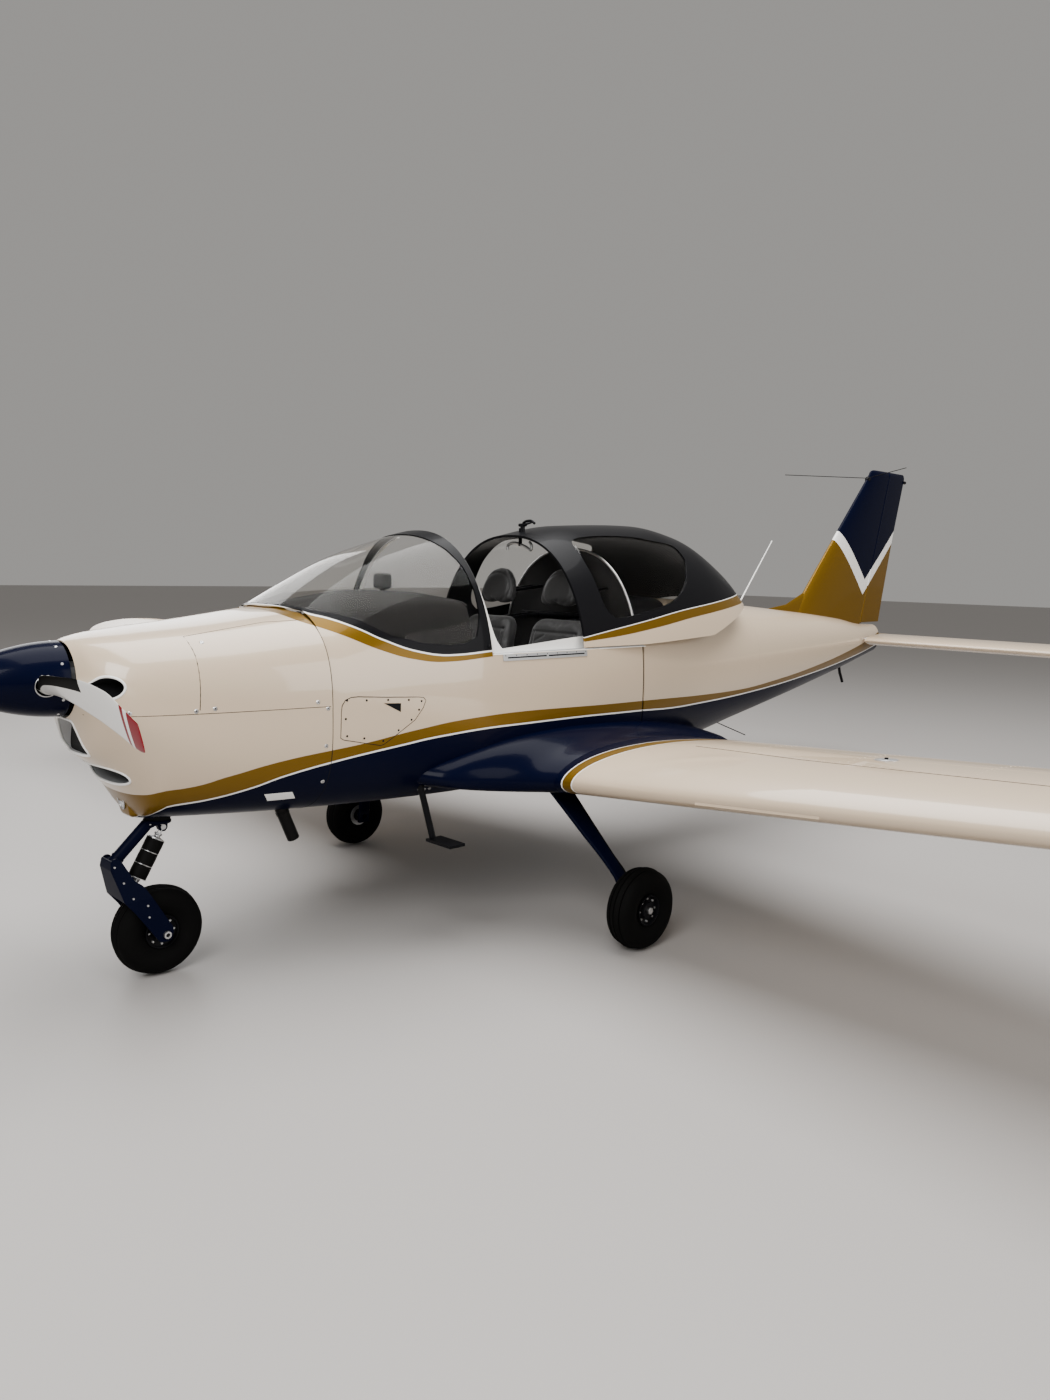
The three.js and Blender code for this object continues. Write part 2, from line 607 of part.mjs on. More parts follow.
// Hinges of the flaps and ailerons, just inside the lower skin at a set distance from the trailing edge
function skinHeights(y) {
  const chord = wingChord(y);
  const x = 1 - SURFACE_CHORD / chord;
  return [-1, 1].map((side) => wingZ(y) + chord * (side * THICKNESS_RATIO * halfThickness(x) + camber(x)));
}
function hinge(y, side) {
  const [lower, upper] = skinHeights(y);
  const centre = new THREE.Vector3(trailingEdge(y) - SURFACE_CHORD, side * y, lower + HINGE_DEPTH);
  return { centre, height: upper - lower - HINGE_DEPTH };
}
function hingePins([inner, outer], side, radius, reach = PIN_REACH) {
  const first = hinge(inner, side).centre;
  const last = hinge(outer, side).centre;
  const along = last.clone().sub(first).normalize();
  const at = (point, distance) => point.clone().addScaledVector(along, distance).toArray();
  return bar(at(first, -20), at(first, reach), radius, radius, PIN_SIDES)
    .add(bar(at(last, -reach), at(last, 20), radius, radius, PIN_SIDES));
}

// Everything aft of a surface's round nose; grown by a gap and cut back at the lip, it makes the cove
// Its end faces are square to the hinge, so they keep their gaps as the surface turns
function surfaceSlab([inner, outer], side, droop, gap = 0, lip = 0) {
  const axis = hinge(outer, side).centre.sub(hinge(inner, side).centre).normalize();
  const squared = (point, centre) => {
    const off = point.clone().sub(centre);
    return point.setY(point.y - off.dot(axis) / axis.y);
  };
  const ring = (y) => {
    const { centre, height } = hinge(y, side);
    const radius = height - droop + gap;
    const first = Math.PI / 2 + Math.asin(lip / radius);
    const points = [];
    for (let i = 0; i <= 5; i += 1) {
      const angle = first + ((Math.PI - first) * i) / 5;
      points.push(new THREE.Vector3(
        centre.x + radius * Math.cos(angle),
        centre.y,
        centre.z + radius * Math.sin(angle),
      ));
    }
    points.push(new THREE.Vector3(centre.x - radius, centre.y, centre.z - 120));
    points.push(new THREE.Vector3(centre.x + 700, centre.y, centre.z - 120));
    points.push(new THREE.Vector3(centre.x + 700, centre.y, centre.z + 200));
    points.push(new THREE.Vector3(centre.x - lip, centre.y, centre.z + 200));
    return points.map((point) => squared(point, centre));
  };
  return loft([ring(inner - gap), ring(outer + gap)]);
}

// Root fairing, with a strake that runs forward along the body
function fairingSolid(side) {
  return loft([
    wingRing(WING_ROOT_Y, side, ROOT_CHORD + 620, WING_LE - 560, 745, 0.13),
    wingRing(560, side, ROOT_CHORD + 470, WING_LE - 430, 725, 0.11),
    wingRing(680, side, ROOT_CHORD + 130, WING_LE - 110, 695, 0.13),
    wingRing(FAIRING_EDGE, side, ROOT_CHORD, WING_LE, wingZ(FAIRING_EDGE), THICKNESS_RATIO),
  ]);
}

for (const [side, name] of [[-1, 'port'], [1, 'starboard']]) {
  const whole = wingSolid(side).subtract(hullBlock);
  const outboard = block(
    [0, side > 0 ? FAIRING_EDGE + SEAT_GAP : -5000, 0],
    [LENGTH, side > 0 ? 5000 : -FAIRING_EDGE - SEAT_GAP, 3000],
  );
  const cavity = loft([WING_ROOT_Y, TIP_RIB].map((y) => {
    const chord = wingChord(y);
    return wingRing(y, side, chord * 0.62, WING_LE + chord * 0.06, wingZ(y), THICKNESS_RATIO * 1.25);
  }));
  const padY = side * TIE_DOWN_Y;
  const pad = block(
    [TIE_DOWN_X - 35, padY - 35, wingZ(TIE_DOWN_Y) - 80],
    [TIE_DOWN_X + 35, padY + 35, wingZ(TIE_DOWN_Y) - 20],
  );
  addPart(`wing_${name}`, ivory, whole.intersect(outboard)
    .subtract(surfaceSlab(FLAP, side, FLAP_DROOP, SURFACE_GAP, SURFACE_GAP))
    .subtract(surfaceSlab(AILERON, side, 0, SURFACE_GAP, AILERON_LIP))
    .subtract(cavity)
    .add(pad)
    .add(hingePins(FLAP, side, SURFACE_PIN))
    .add(hingePins(AILERON, side, SURFACE_PIN)));
  addPart(`flap_${name}`, ivory, whole.intersect(outboard)
    .intersect(surfaceSlab(FLAP, side, FLAP_DROOP))
    .subtract(hingePins(FLAP, side, SURFACE_PIN + PIN_CLEARANCE, BORE_REACH)));
  addPart(`aileron_${name}`, ivory, whole.intersect(outboard)
    .intersect(surfaceSlab(AILERON, side, 0))
    .subtract(hingePins(AILERON, side, SURFACE_PIN + PIN_CLEARANCE, BORE_REACH)));
  addPart(`wing_root_fairing_${name}`, navy, fairingSolid(side).subtract(hullBlock));
}

// Tail surfaces
const TAIL_FOIL = foil(8);
const stabRing = (y, front, chord, ratio = 0.1) => TAIL_FOIL.map(([x, half]) => new THREE.Vector3(
  front + x * chord, y, STAB_Z + half * chord * ratio,
));
const TAB_HINGE = STAB_LE + STAB_CHORD - TAB_CHORD;
const stabWhole = loft([
  stabRing(-STAB_HALF_SPAN, STAB_LE + 30, STAB_CHORD - 50, 0.06),
  stabRing(-STAB_HALF_SPAN + 60, STAB_LE, STAB_CHORD),
  stabRing(STAB_HALF_SPAN - 60, STAB_LE, STAB_CHORD),
  stabRing(STAB_HALF_SPAN, STAB_LE + 30, STAB_CHORD - 50, 0.06),
]);
const STAB_NOTCH = 150;
const tabBox = block(
  [TAB_HINGE, -TAB_HALF_SPAN, STAB_Z - 200],
  [LENGTH + 50, TAB_HALF_SPAN, STAB_Z + 200],
);
const tabGapBox = block(
  [TAB_HINGE - 18, -TAB_HALF_SPAN - 6, STAB_Z - 200],
  [LENGTH + 50, TAB_HALF_SPAN + 6, STAB_Z + 200],
);
const tabPins = (radius, reach = PIN_REACH) => join([-1, 1].map((side) => bar(
  [TAB_HINGE + 2, side * (TAB_HALF_SPAN + 30), STAB_Z],
  [TAB_HINGE + 2, side * (TAB_HALF_SPAN - reach), STAB_Z],
  radius, radius, PIN_SIDES,
)));
// Hollow inside each half, open at the root rib beside the tail cone
const stabHollow = join([-1, 1].map((side) => loft([STAB_NOTCH - 20, STAB_HALF_SPAN - 100].map((y) =>
  TAIL_FOIL.map(([x, half]) => new THREE.Vector3(
    STAB_LE + STAB_CHORD * (0.05 + 0.62 * x),
    side * y,
    STAB_Z + half * STAB_CHORD * 0.066,
  ))))));
addPart('stabilator', ivory, stabWhole
  .subtract(stabHollow)
  .subtract(block([STAB_LE - 50, -STAB_NOTCH, 900], [TAIL_END + 60, STAB_NOTCH, 1400]))
  .subtract(tabGapBox)
  .add(bar([STAB_PIVOT, -STAB_NOTCH - 60, STAB_Z], [STAB_PIVOT, STAB_NOTCH + 60, STAB_Z], 29, 29, 16))
  .add(tabPins(4)));
addPart('anti_servo_tab', ivory, stabWhole.intersect(tabBox).add(
  bar([TAB_HINGE + 2, -TAB_HALF_SPAN, STAB_Z], [TAB_HINGE + 2, TAB_HALF_SPAN, STAB_Z], 11, 11, 10),
).subtract(tabPins(4 + PIN_CLEARANCE, BORE_REACH)));

// Fin and rudder: height, leading edge, trailing edge, half thickness
const FIN = [
  [FIN_BASE_Z, 5100, 6395, 48],
  [1420, 5265, 6440, 44],
  [1900, 5716, 6552, 36],
  [2330, 6128, 6672, 26],
  [FIN_TOP_Z, 6190, 6650, 14],
];
const finRing = ([z, front, rear, half]) => TAIL_FOIL.map(([x, h]) => new THREE.Vector3(
  front + x * (rear - front), (h * half) / 0.5, z,
));
const finWhole = loft(FIN.map(finRing));
const RUDDER_FOOT_Z = 1253;
const RUDDER_NOSE = 24;
const behindHinge = (offset, low) => sidePlate([
  [hingeAt(low) + offset, low], [LENGTH + 100, low], [LENGTH + 100, 2500], [hingeAt(2500) + offset, 2500],
], -200, 200);
const hingeBar = (radius, low) => bar(
  [hingeAt(low), 0, low],
  [hingeAt(2500), 0, 2500],
  radius,
  radius,
  14,
);
const finSolid = finWhole.subtract(behindHinge(0, 1000)).subtract(hingeBar(RUDDER_NOSE + 7, 1000));
const dorsal = loft([
  [[4850, 1340], [4850, 1362], 3], [[5100, 1300], [5100, 1392], 12], [[5330, 1290], [5330, 1478], 26],
].map(([foot, head, half]) => [
  new THREE.Vector3(foot[0], -half, foot[1]),
  new THREE.Vector3(foot[0], half, foot[1]),
  new THREE.Vector3(head[0], 2, head[1]),
  new THREE.Vector3(head[0], -2, head[1]),
]));
const finHollow = loft([[FIN_BASE_Z - 20, 5330, 6000, 34], [2250, 6110, 6320, 16]].map(finRing));
addPart('fin', gold, finSolid.add(dorsal).subtract(finHollow).subtract(hullBlock));
const tipPlane = block([0, -300, RUDDER_FOOT_Z], [LENGTH + 200, 300, 3000]);
addPart('rudder', gold, finWhole.intersect(behindHinge(0, 1000))
  .add(hingeBar(RUDDER_NOSE, 1000).intersect(finWhole.add(block([6000, -25, 1100], [6450, 25, 2330]))))
  .intersect(tipPlane)
  .intersect(bigBox(0, FIN_TOP_Z))
  .subtract(rudderPin(PIN_RADIUS + PIN_CLEARANCE, 1228, 1291)));

// Landing gear wheels
function wheelSolid(rows, x, y, z, sides) {
  const geometry = new THREE.LatheGeometry(rows.map(([r, w]) => new THREE.Vector2(r, w)), sides);
  geometry.translate(x, y, z);
  return outward(geometry);
}
const halfWidth = TYRE_WIDTH / 2;
const tyreRows = [
  [RIM_RADIUS + SEAT_GAP, -40], [100, -halfWidth + 4], [128, -halfWidth], [155, -halfWidth + 12],
  [170, -30], [TYRE_RADIUS, 0], [170, 30], [155, halfWidth - 12], [128, halfWidth],
  [100, halfWidth - 4], [RIM_RADIUS + SEAT_GAP, 40], [RIM_RADIUS + SEAT_GAP, -40],
];
const AXLE_RADIUS = 14;
const rimRows = [
  [AXLE_RADIUS + SEAT_GAP, -48], [34, -48], [38, -32], [60, -36], [RIM_RADIUS, -50],
  [RIM_RADIUS, 50], [60, 36], [38, 32], [34, 48], [AXLE_RADIUS + SEAT_GAP, 48],
  [AXLE_RADIUS + SEAT_GAP, -48],
];
const WHEEL_SIDES = 24;
const wheelAxisZ = TYRE_RADIUS;
for (const [name, x, y] of [
  ['nose', NOSE_AXLE, 0], ['port', MAIN_AXLE, -MAIN_TRACK_HALF], ['starboard', MAIN_AXLE, MAIN_TRACK_HALF],
]) {
  addPart(`${name}_tyre`, rubber, wheelSolid(tyreRows, x, y, wheelAxisZ, WHEEL_SIDES));
  addPart(`${name}_rim`, black, wheelSolid(rimRows, x, y, wheelAxisZ, WHEEL_SIDES));
}

// Main legs: tapered spring legs with the axle at the foot, and the brake beside the wheel
for (const [side, name] of [[-1, 'port'], [1, 'starboard']]) {
  const legPlan = [
    [550, 679, 66, 22], [950, 288, 34, 15], [972, 200, 36, 13],
  ];
  const legRing = ([y, z, half, thick]) => [
    new THREE.Vector3(2340 + (y - 720) * 0.14 - half, side * (y - thick), z),
    new THREE.Vector3(2340 + (y - 720) * 0.14 + half, side * (y - thick), z),
    new THREE.Vector3(2340 + (y - 720) * 0.14 + half, side * (y + thick), z),
    new THREE.Vector3(2340 + (y - 720) * 0.14 - half, side * (y + thick), z),
  ];
  const inner = side * 962;
  addPart(`main_leg_${name}`, navy, join([
    loft(legPlan.map(legRing)),
    block([MAIN_AXLE - 34, Math.min(inner, inner + side * 26), 140],
      [MAIN_AXLE + 34, Math.max(inner, inner + side * 26), 208]),
    block([MAIN_AXLE - 20, Math.min(inner, inner + side * 30), 200],
      [MAIN_AXLE + 36, Math.max(inner, inner + side * 30), 246]),
    bar([MAIN_AXLE, inner, wheelAxisZ], [MAIN_AXLE, side * (MAIN_TRACK_HALF + 56), wheelAxisZ], AXLE_RADIUS),
  ]).subtract(fairingSolid(side)).subtract(fairingSolid(side).translate([0, 0, -SEAT_GAP])));
}

// Nose gear: leg tube, trailing fork and rubber shock strut turn together on the steering pivot
const KNEE = [572, 0, 462];
const KNEE_HALF = 45;
const LEG_HEAD = [704, 0, 590];
const TURN_PLATE = { low: 597, high: 610, radius: 52 };
const FORK_HALF = 78;
const STEER_FOOT = [700, 0, 0];
const STEER_HEAD = [750, 0, 613];
const onSteerAxis = (z) => [
  STEER_FOOT[0] + ((STEER_HEAD[0] - STEER_FOOT[0]) * z) / STEER_HEAD[2], 0, z,
];
const shockLug = [
  [700, 600], [712, 574], [745, 586], [752, 566], [762, 558], [776, 558], [786, 570], [788, 600],
];
addPart('nose_leg', navy, join([
  bar(KNEE, LEG_HEAD, 22, 22, 12),
  bar([KNEE[0], -KNEE_HALF, KNEE[2]], [KNEE[0], KNEE_HALF, KNEE[2]], 22, 22, 14),
  bar(onSteerAxis(TURN_PLATE.low), onSteerAxis(TURN_PLATE.high), TURN_PLATE.radius, TURN_PLATE.radius, 20),
  sidePlate(shockLug, -10, 10),
]));
addPart('nose_gear_pivot', steel, bar(onSteerAxis(TURN_PLATE.high + 0.5), onSteerAxis(650), 48, 52, 20)
  .subtract(bodySolid(COWL_FRONT, COWL_REAR, -SEAT_GAP)));
// Each cheek of the fork stands upright beside the tyre and leans in above it
const FORK_BEND = 330;
const FORK_LEAN = 0.2;
const cheekInside = (z) => FORK_HALF - Math.max(z - FORK_BEND, 0) * FORK_LEAN;
const cheekRows = [
  [FORK_BEND, 583, 692], [360, 574, 676], [386, 567, 664], [400, 563, 632],
  [460, 549, 600], [480, 551, 590], [492, 561, 579],
];
const upperCheek = (side) => loft(cheekRows.map(([z, front, rear]) => [
  new THREE.Vector3(front, side * cheekInside(z), z),
  new THREE.Vector3(rear, side * cheekInside(z), z),
  new THREE.Vector3(rear, side * (cheekInside(z) + 8), z),
  new THREE.Vector3(front, side * (cheekInside(z) + 8), z),
]));
const lowerCheek = (low, high) => sidePlate([
  [583, FORK_BEND + 1], [692, FORK_BEND + 1], [NOSE_AXLE + 28, 196], [NOSE_AXLE + 20, 146],
  [NOSE_AXLE - 30, 150], [620, 284], [590, 312],
], low, high);
addPart('nose_fork', navy, join([
  upperCheek(-1),
  upperCheek(1),
  lowerCheek(-FORK_HALF - 8, -FORK_HALF),
  lowerCheek(FORK_HALF, FORK_HALF + 8),
  block([566, -cheekInside(414) - 4, 396], [606, cheekInside(414) + 4, 430]),
  bar([NOSE_AXLE, -FORK_HALF - 20, wheelAxisZ], [NOSE_AXLE, FORK_HALF + 20, wheelAxisZ], AXLE_RADIUS),
]));
const shockTop = new THREE.Vector3(768, 0, 576);
const shockFoot = new THREE.Vector3(652, 0, 372);
const SHOCK_PIN_HALF = cheekInside(shockFoot.z + 9) - SEAT_GAP;
const alongShock = (share) => shockTop.clone().lerp(shockFoot, share).toArray();
const PUCKS = [[0.22, 0.43], [0.45, 0.66], [0.68, 0.89]];
addPart('nose_shock', rubber, join([
  bar(alongShock(0), alongShock(0.98), 12, 12, 8),
  bar(alongShock(0.22), alongShock(0.89), 24, 24, 12),
  ...PUCKS.map(([high, low]) => bar(alongShock(high), alongShock(low), 34, 34, 16)),
  bar([shockFoot.x, -SHOCK_PIN_HALF, shockFoot.z],
    [shockFoot.x, SHOCK_PIN_HALF, shockFoot.z], 9, 9, 8),
]).subtract(sidePlate(shockLug, -10.4, 10.4)));

// Small outside pieces
addPart('exhaust_pipe', steel, bar([1160, -200, 640], [1222, -200, 494], 25, 25, 16)
  .subtract(bar([1180, -200, 580], [1226, -200, 484], 21, 21, 16))
  .subtract(hullBlock));
for (const [side, name] of [[-1, 'port'], [1, 'starboard']]) {
  addPart(`step_${name}`, black, join([
    bar([1672, side * 432, 730], [1735, side * 455, 458], 14),
    block([1710, Math.min(side * 440, side * 600), 446], [1790, Math.max(side * 440, side * 600), 458]),
  ]).subtract(hullBlock).subtract(fairingSolid(side).translate([0, 0, -SEAT_GAP])));
}
addPart('whip_antenna', white, join([
  bar([4536, 0, 1380], [4894, 0, 1806], 5, 3, 8),
  bar([4536, 0, 1385], [4540, 0, 1410], 30, 12, 14),
]).subtract(hullBlock));
addPart('tail_skid', black, join([
  bar([5850, 0, 960], [5880, 0, 880], 10),
  bar([5880, 0, 885], [5920, 0, 820], 10),
]).subtract(hullBlock));

export default aircraft;
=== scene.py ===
"""Looks of a two-seat low-wing trainer aircraft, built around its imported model.

Tables hold millimetres, by station: the distance aft of the spinner's tip. Every mesh is in metres.
"""
import math

import bmesh
import bpy
from bpy.props import FloatProperty, FloatVectorProperty, IntProperty, PointerProperty
from bpy.types import Operator, Panel, PropertyGroup
from mathutils import Matrix, Vector
from mathutils.bvhtree import BVHTree


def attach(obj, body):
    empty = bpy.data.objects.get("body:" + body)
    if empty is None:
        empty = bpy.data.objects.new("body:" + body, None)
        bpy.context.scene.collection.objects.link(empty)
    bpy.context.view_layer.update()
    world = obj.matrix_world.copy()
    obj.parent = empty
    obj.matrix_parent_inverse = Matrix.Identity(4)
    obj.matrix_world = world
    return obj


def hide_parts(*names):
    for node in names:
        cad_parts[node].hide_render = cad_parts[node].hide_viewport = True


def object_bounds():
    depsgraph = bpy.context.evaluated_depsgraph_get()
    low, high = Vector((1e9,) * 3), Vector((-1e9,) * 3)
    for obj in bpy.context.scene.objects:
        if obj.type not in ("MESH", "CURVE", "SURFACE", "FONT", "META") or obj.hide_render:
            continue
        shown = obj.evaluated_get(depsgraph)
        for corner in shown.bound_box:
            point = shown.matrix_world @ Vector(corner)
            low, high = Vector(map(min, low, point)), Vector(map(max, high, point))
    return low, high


bl_info = {
    "name": "Trainer Aircraft",
    "version": (1, 0, 0),
    "blender": (4, 5, 0),
    "location": "View3D > Sidebar > Trainer",
    "description": "Builds the skins, glazing, cabin, gear and finishes of a two-seat trainer aircraft",
    "category": "Object",
}

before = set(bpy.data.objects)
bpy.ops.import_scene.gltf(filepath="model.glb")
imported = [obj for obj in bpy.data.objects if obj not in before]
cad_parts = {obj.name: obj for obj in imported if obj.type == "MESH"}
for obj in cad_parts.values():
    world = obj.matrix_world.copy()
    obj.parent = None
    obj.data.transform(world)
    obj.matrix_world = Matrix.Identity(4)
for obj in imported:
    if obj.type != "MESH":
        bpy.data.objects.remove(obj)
CAD_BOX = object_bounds()
NOSE = CAD_BOX[0].x
MM = 0.001
SIDES = ((-1, "port"), (1, "starboard"))
AFT = (1, 0, 0)
ACROSS = (0, 1, 0)
UP = (0, 0, 1)

# Stations and heights of the body
SPINNER_END = 405
COWL_FRONT = 415
COWL_REAR = 1235
CABIN_FRONT = 1243.3
ARCH = 1981
BULKHEAD = 2990
AFT_FRONT = 3004.6
AFT_JOINT = 4270
TAIL_END = 6300
COWL_SPLIT = 1057
THRUST_Z = 1170
SILL_Z = 1228
CANOPY_OPEN = 570
CANOPY_FRONT = 1989
CANOPY_REAR = 3632

# Body sections: station, bottom, widest height, top, half width, upper and lower roundness
HULL = (
    (415, 1030, 1172, 1306, 150, 2.0, 2.0),
    (450, 905, 1150, 1316, 215, 2.2, 2.2),
    (520, 835, 1125, 1330, 280, 2.4, 2.3),
    (600, 720, 1100, 1340, 318, 2.5, 2.4),
    (660, 640, 1085, 1347, 338, 2.6, 2.4),
    (860, 622, 1050, 1368, 390, 2.8, 2.6),
    (1235, 600, 1000, 1416, 458, 3.0, 2.8),
    (1600, 588, 975, 1462, 520, 2.8, 2.9),
    (1981, 582, 970, 1485, 558, 2.6, 3.0),
    (2500, 580, 972, 1490, 560, 2.6, 3.0),
    (3000, 585, 985, 1478, 528, 2.6, 2.8),
    (3630, 612, 1010, 1445, 448, 2.5, 2.5),
    (4270, 694, 1042, 1410, 360, 2.4, 2.3),
    (5000, 800, 1080, 1356, 258, 2.2, 2.2),
    (5700, 915, 1110, 1296, 165, 2.1, 2.0),
    (6080, 990, 1125, 1244, 108, 2.0, 2.0),
    (6300, 1032, 1133, 1234, 70, 2.0, 2.0),
)

# The glazed body over the cabin with the canopy shut: station, top, upper roundness
GLAZED_TOP = (
    (1206, 1417, 2.8), (1400, 1533, 2.5), (1600, 1636, 2.4), (1800, 1705, 2.3), (1981, 1752, 2.3),
    (2300, 1812, 2.3), (2816, 1834, 2.3), (3080, 1800, 2.3), (3400, 1664, 2.3), (3560, 1530, 2.3),
    (3640, 1440, 2.3),
)

# Side views, station and height: the edge of the painted body, and the foot of the shut canopy
GLAZING_LINE = ((1190, 1424), (1300, 1400), (1450, 1335), (1620, 1272), (1800, 1238), (1981, 1228))
SKIRT_LINE = (
    (1989, 1236.6), (2420, 1236.6), (3030, 1262), (3330, 1352), (3560, 1436), (3600, 1450), (3632, 1456),
)

# Paint lines of the body, station and height
GOLD_TOP = (
    (415, 739), (589, 750), (669, 777), (718, 781), (863, 817), (1070, 864), (1357, 902), (1613, 943),
    (1874, 970), (2127, 976), (2413, 971), (2747, 962), (3140, 951), (3573, 935), (4050, 927),
    (4524, 946), (5052, 987), (5784, 1084), (6300, 1180),
)
NAVY_TOP = (
    (415, 560), (640, 628), (697, 703), (801, 719), (947, 755), (1080, 799), (1278, 841), (1528, 880),
    (1730, 904), (2015, 918), (2420, 918), (2899, 907), (3423, 888), (4166, 895), (5094, 943),
    (5851, 1021), (6300, 1090),
)
SCREEN_BLACK = (
    (1190, 1520), (1229, 1414), (1243, 1408), (1252, 1402), (1296, 1388), (1387, 1350), (1480, 1304),
    (1629, 1254), (1771, 1237), (1990, 1248),
)
SCREEN_GOLD = (
    (1120, 1520), (1160, 1404), (1175, 1389), (1194, 1375), (1245, 1353), (1316, 1324), (1471, 1258),
    (1596, 1223), (1737, 1207), (1990, 1221),
)
DECK_EDGE = ((2990, 1262), (3030, 1270), (3330, 1364), (3560, 1448), (3640, 1475), (3700, 1600))
CANOPY_GOLD_TOP = ((2550, 1278), (2739, 1307), (2991, 1344), (3312, 1393), (3609, 1425), (4300, 1500))
CANOPY_GOLD_FOOT = ((2550, 1262), (2804, 1282), (3099, 1317), (3390, 1356), (3590, 1378), (4300, 1452))

# Fin paint: upper and lower edges of the white V, station and height
FIN_V_TOP = ((5600, 2010), (6104, 1567), (6700, 2050))
FIN_V_FOOT = ((5600, 1897), (6088, 1458), (6700, 1985))

# Wing
WING_LE = 2145
WING_Z = 690
WING_Z_AT = 750
DIHEDRAL = math.tan(math.radians(5))
ROOT_CHORD = 1430
TAPER_START = 850
TIP_RIB = 4330
TIP_CHORD = 920
HALF_SPAN = 4500
THICKNESS_RATIO = 0.14
WING_ROOT_Y = 380
FAIRING_EDGE = 760
SURFACE_CHORD = 285
FLAP = (830, 2560)
AILERON = (2600, 4210)
SURFACE_GAP = 6
AILERON_LIP = 30
FLAP_DROOP = 12
HINGE_DEPTH = 12

# Gold band round the wing root: station and distance from the middle
BAND_INNER = ((2100, 800), (2171, 808), (2321, 830), (2532, 880), (2738, 935), (3100, 1045), (3600, 1200))
BAND_OUTER = ((2100, 848), (2171, 860), (2321, 902), (2532, 962), (2738, 1018), (3100, 1125), (3600, 1270))

# Tail
STAB_LE = 5929
STAB_Z = 1132
STAB_CHORD = 800
STAB_HALF_SPAN = 1450
STAB_NOTCH = 150
STAB_PIVOT = 6125
TAB_HINGE = 6619
TAB_HALF_SPAN = 900
FIN = (
    (1200, 5100, 6395, 48), (1420, 5265, 6440, 44), (1900, 5716, 6552, 36), (2330, 6128, 6672, 26),
    (2364, 6190, 6650, 14),
)
RUDDER_FOOT = (6096, 1252)
RUDDER_HEAD = (6387, 2286)
RUDDER_NOSE = 24
RUDDER_LOW = 1253

# Propeller
SPINNER_RADIUS = 134
SPINNER_CURVE = 0.82
BLADE_STATION = 325
BLADE_TILT = math.radians(5)
ROOT_HOLE = 36
STRIP = (60, 530)

# Blade sections: radius, chord, thickness, pitch in degrees, middle's distance behind the blade's axis
BLADE = (
    (50, 56, 54, 50, 0), (135, 58, 52, 50, -1), (170, 76, 44, 47, -14), (230, 98, 32, 42, -30),
    (340, 108, 22, 34, -38), (520, 136, 16, 25, -42), (700, 146, 12, 19, -30), (820, 118, 9, 16, 0),
    (875, 98, 6, 15, 8), (885, 92, 4, 15, 8),
)

# Landing gear
TYRE_RADIUS = 174
TYRE_HALF = 63.5
RIM_RADIUS = 66
NOSE_AXLE = 739
MAIN_AXLE = 2375
MAIN_TRACK = 1063


class TrainerSizes(PropertyGroup):
    """Sizes that a user would change."""

    skin: FloatProperty(
        name="Skin", description="Thickness of the body's skins", default=0.006, unit="LENGTH"
    )
    cabin_wall: FloatProperty(
        name="Cabin wall", description="Thickness of the cabin's sides", default=0.022, unit="LENGTH"
    )
    pane: FloatProperty(
        name="Pane", description="Thickness of the clear panes", default=0.004, unit="LENGTH"
    )
    screw: FloatProperty(
        name="Screw", description="Radius of a panel screw's head", default=0.006, unit="LENGTH"
    )
    rivet: FloatProperty(
        name="Rivet", description="Radius of a rivet's head", default=0.0026, unit="LENGTH"
    )
    ring_points: IntProperty(
        name="Ring points", description="Points round half a body section", default=64, min=16
    )


def colour(name, description, default):
    return FloatVectorProperty(
        name=name, description=description, default=default, subtype="COLOR", size=3, min=0, max=1
    )


class TrainerColours(PropertyGroup):
    """Colours of the finishes."""

    ivory: colour("Ivory", "Paint of the body and wings", (0.58, 0.455, 0.325))
    navy: colour("Navy", "Paint of the belly, spinner and gear", (0.0012, 0.0022, 0.012))
    gold: colour("Gold", "Paint of the stripes", (0.15, 0.078, 0.001))
    white: colour("White", "Pin stripes and blades", (0.86, 0.85, 0.82))
    black: colour("Black", "Frames and trim", (0.006, 0.006, 0.007))
    red: colour("Red", "Blade tip marks", (0.22, 0.004, 0.014))
    green: colour("Green", "Lamp of the starboard wing tip", (0.0, 0.16, 0.05))
    leather: colour("Leather", "Seats and glareshield", (0.013, 0.0125, 0.0125))
    rubber: colour("Rubber", "Tyres", (0.0022, 0.0021, 0.002))
    steel: colour("Steel", "Rods, screws and pipes", (0.55, 0.55, 0.55))
    floor: colour("Floor", "Studio floor", (0.38, 0.36, 0.345))


def at(station, y, z):
    """Point in metres of a station, distance to starboard and height in millimetres."""
    return Vector((NOSE + station * MM, y * MM, z * MM))


def spread(first, last, step):
    """Even values from first to last, no further apart than step."""
    count = max(1, math.ceil((last - first) / step - 1e-6))
    return [first + (last - first) * i / count for i in range(count + 1)]


def straight(table, value, column=1):
    """Straight-line value of a column between a table's rows."""
    if value <= table[0][0]:
        return table[0][column]
    for low, high in zip(table, table[1:]):
        if value <= high[0]:
            share = (value - low[0]) / (high[0] - low[0])
            return low[column] + share * (high[column] - low[column])
    return table[-1][column]


def slope(table, row, column):
    """Slope at a row that keeps the curve between rows from overshooting."""
    sides = []
    for low, high in ((row - 1, row), (row, row + 1)):
        if low >= 0 and high < len(table):
            run = table[high][0] - table[low][0]
            sides.append((table[high][column] - table[low][column]) / run)
    if len(sides) == 1:
        return sides[0]
    if sides[0] * sides[1] <= 0:
        return 0.0
    return 2 * sides[0] * sides[1] / (sides[0] + sides[1])


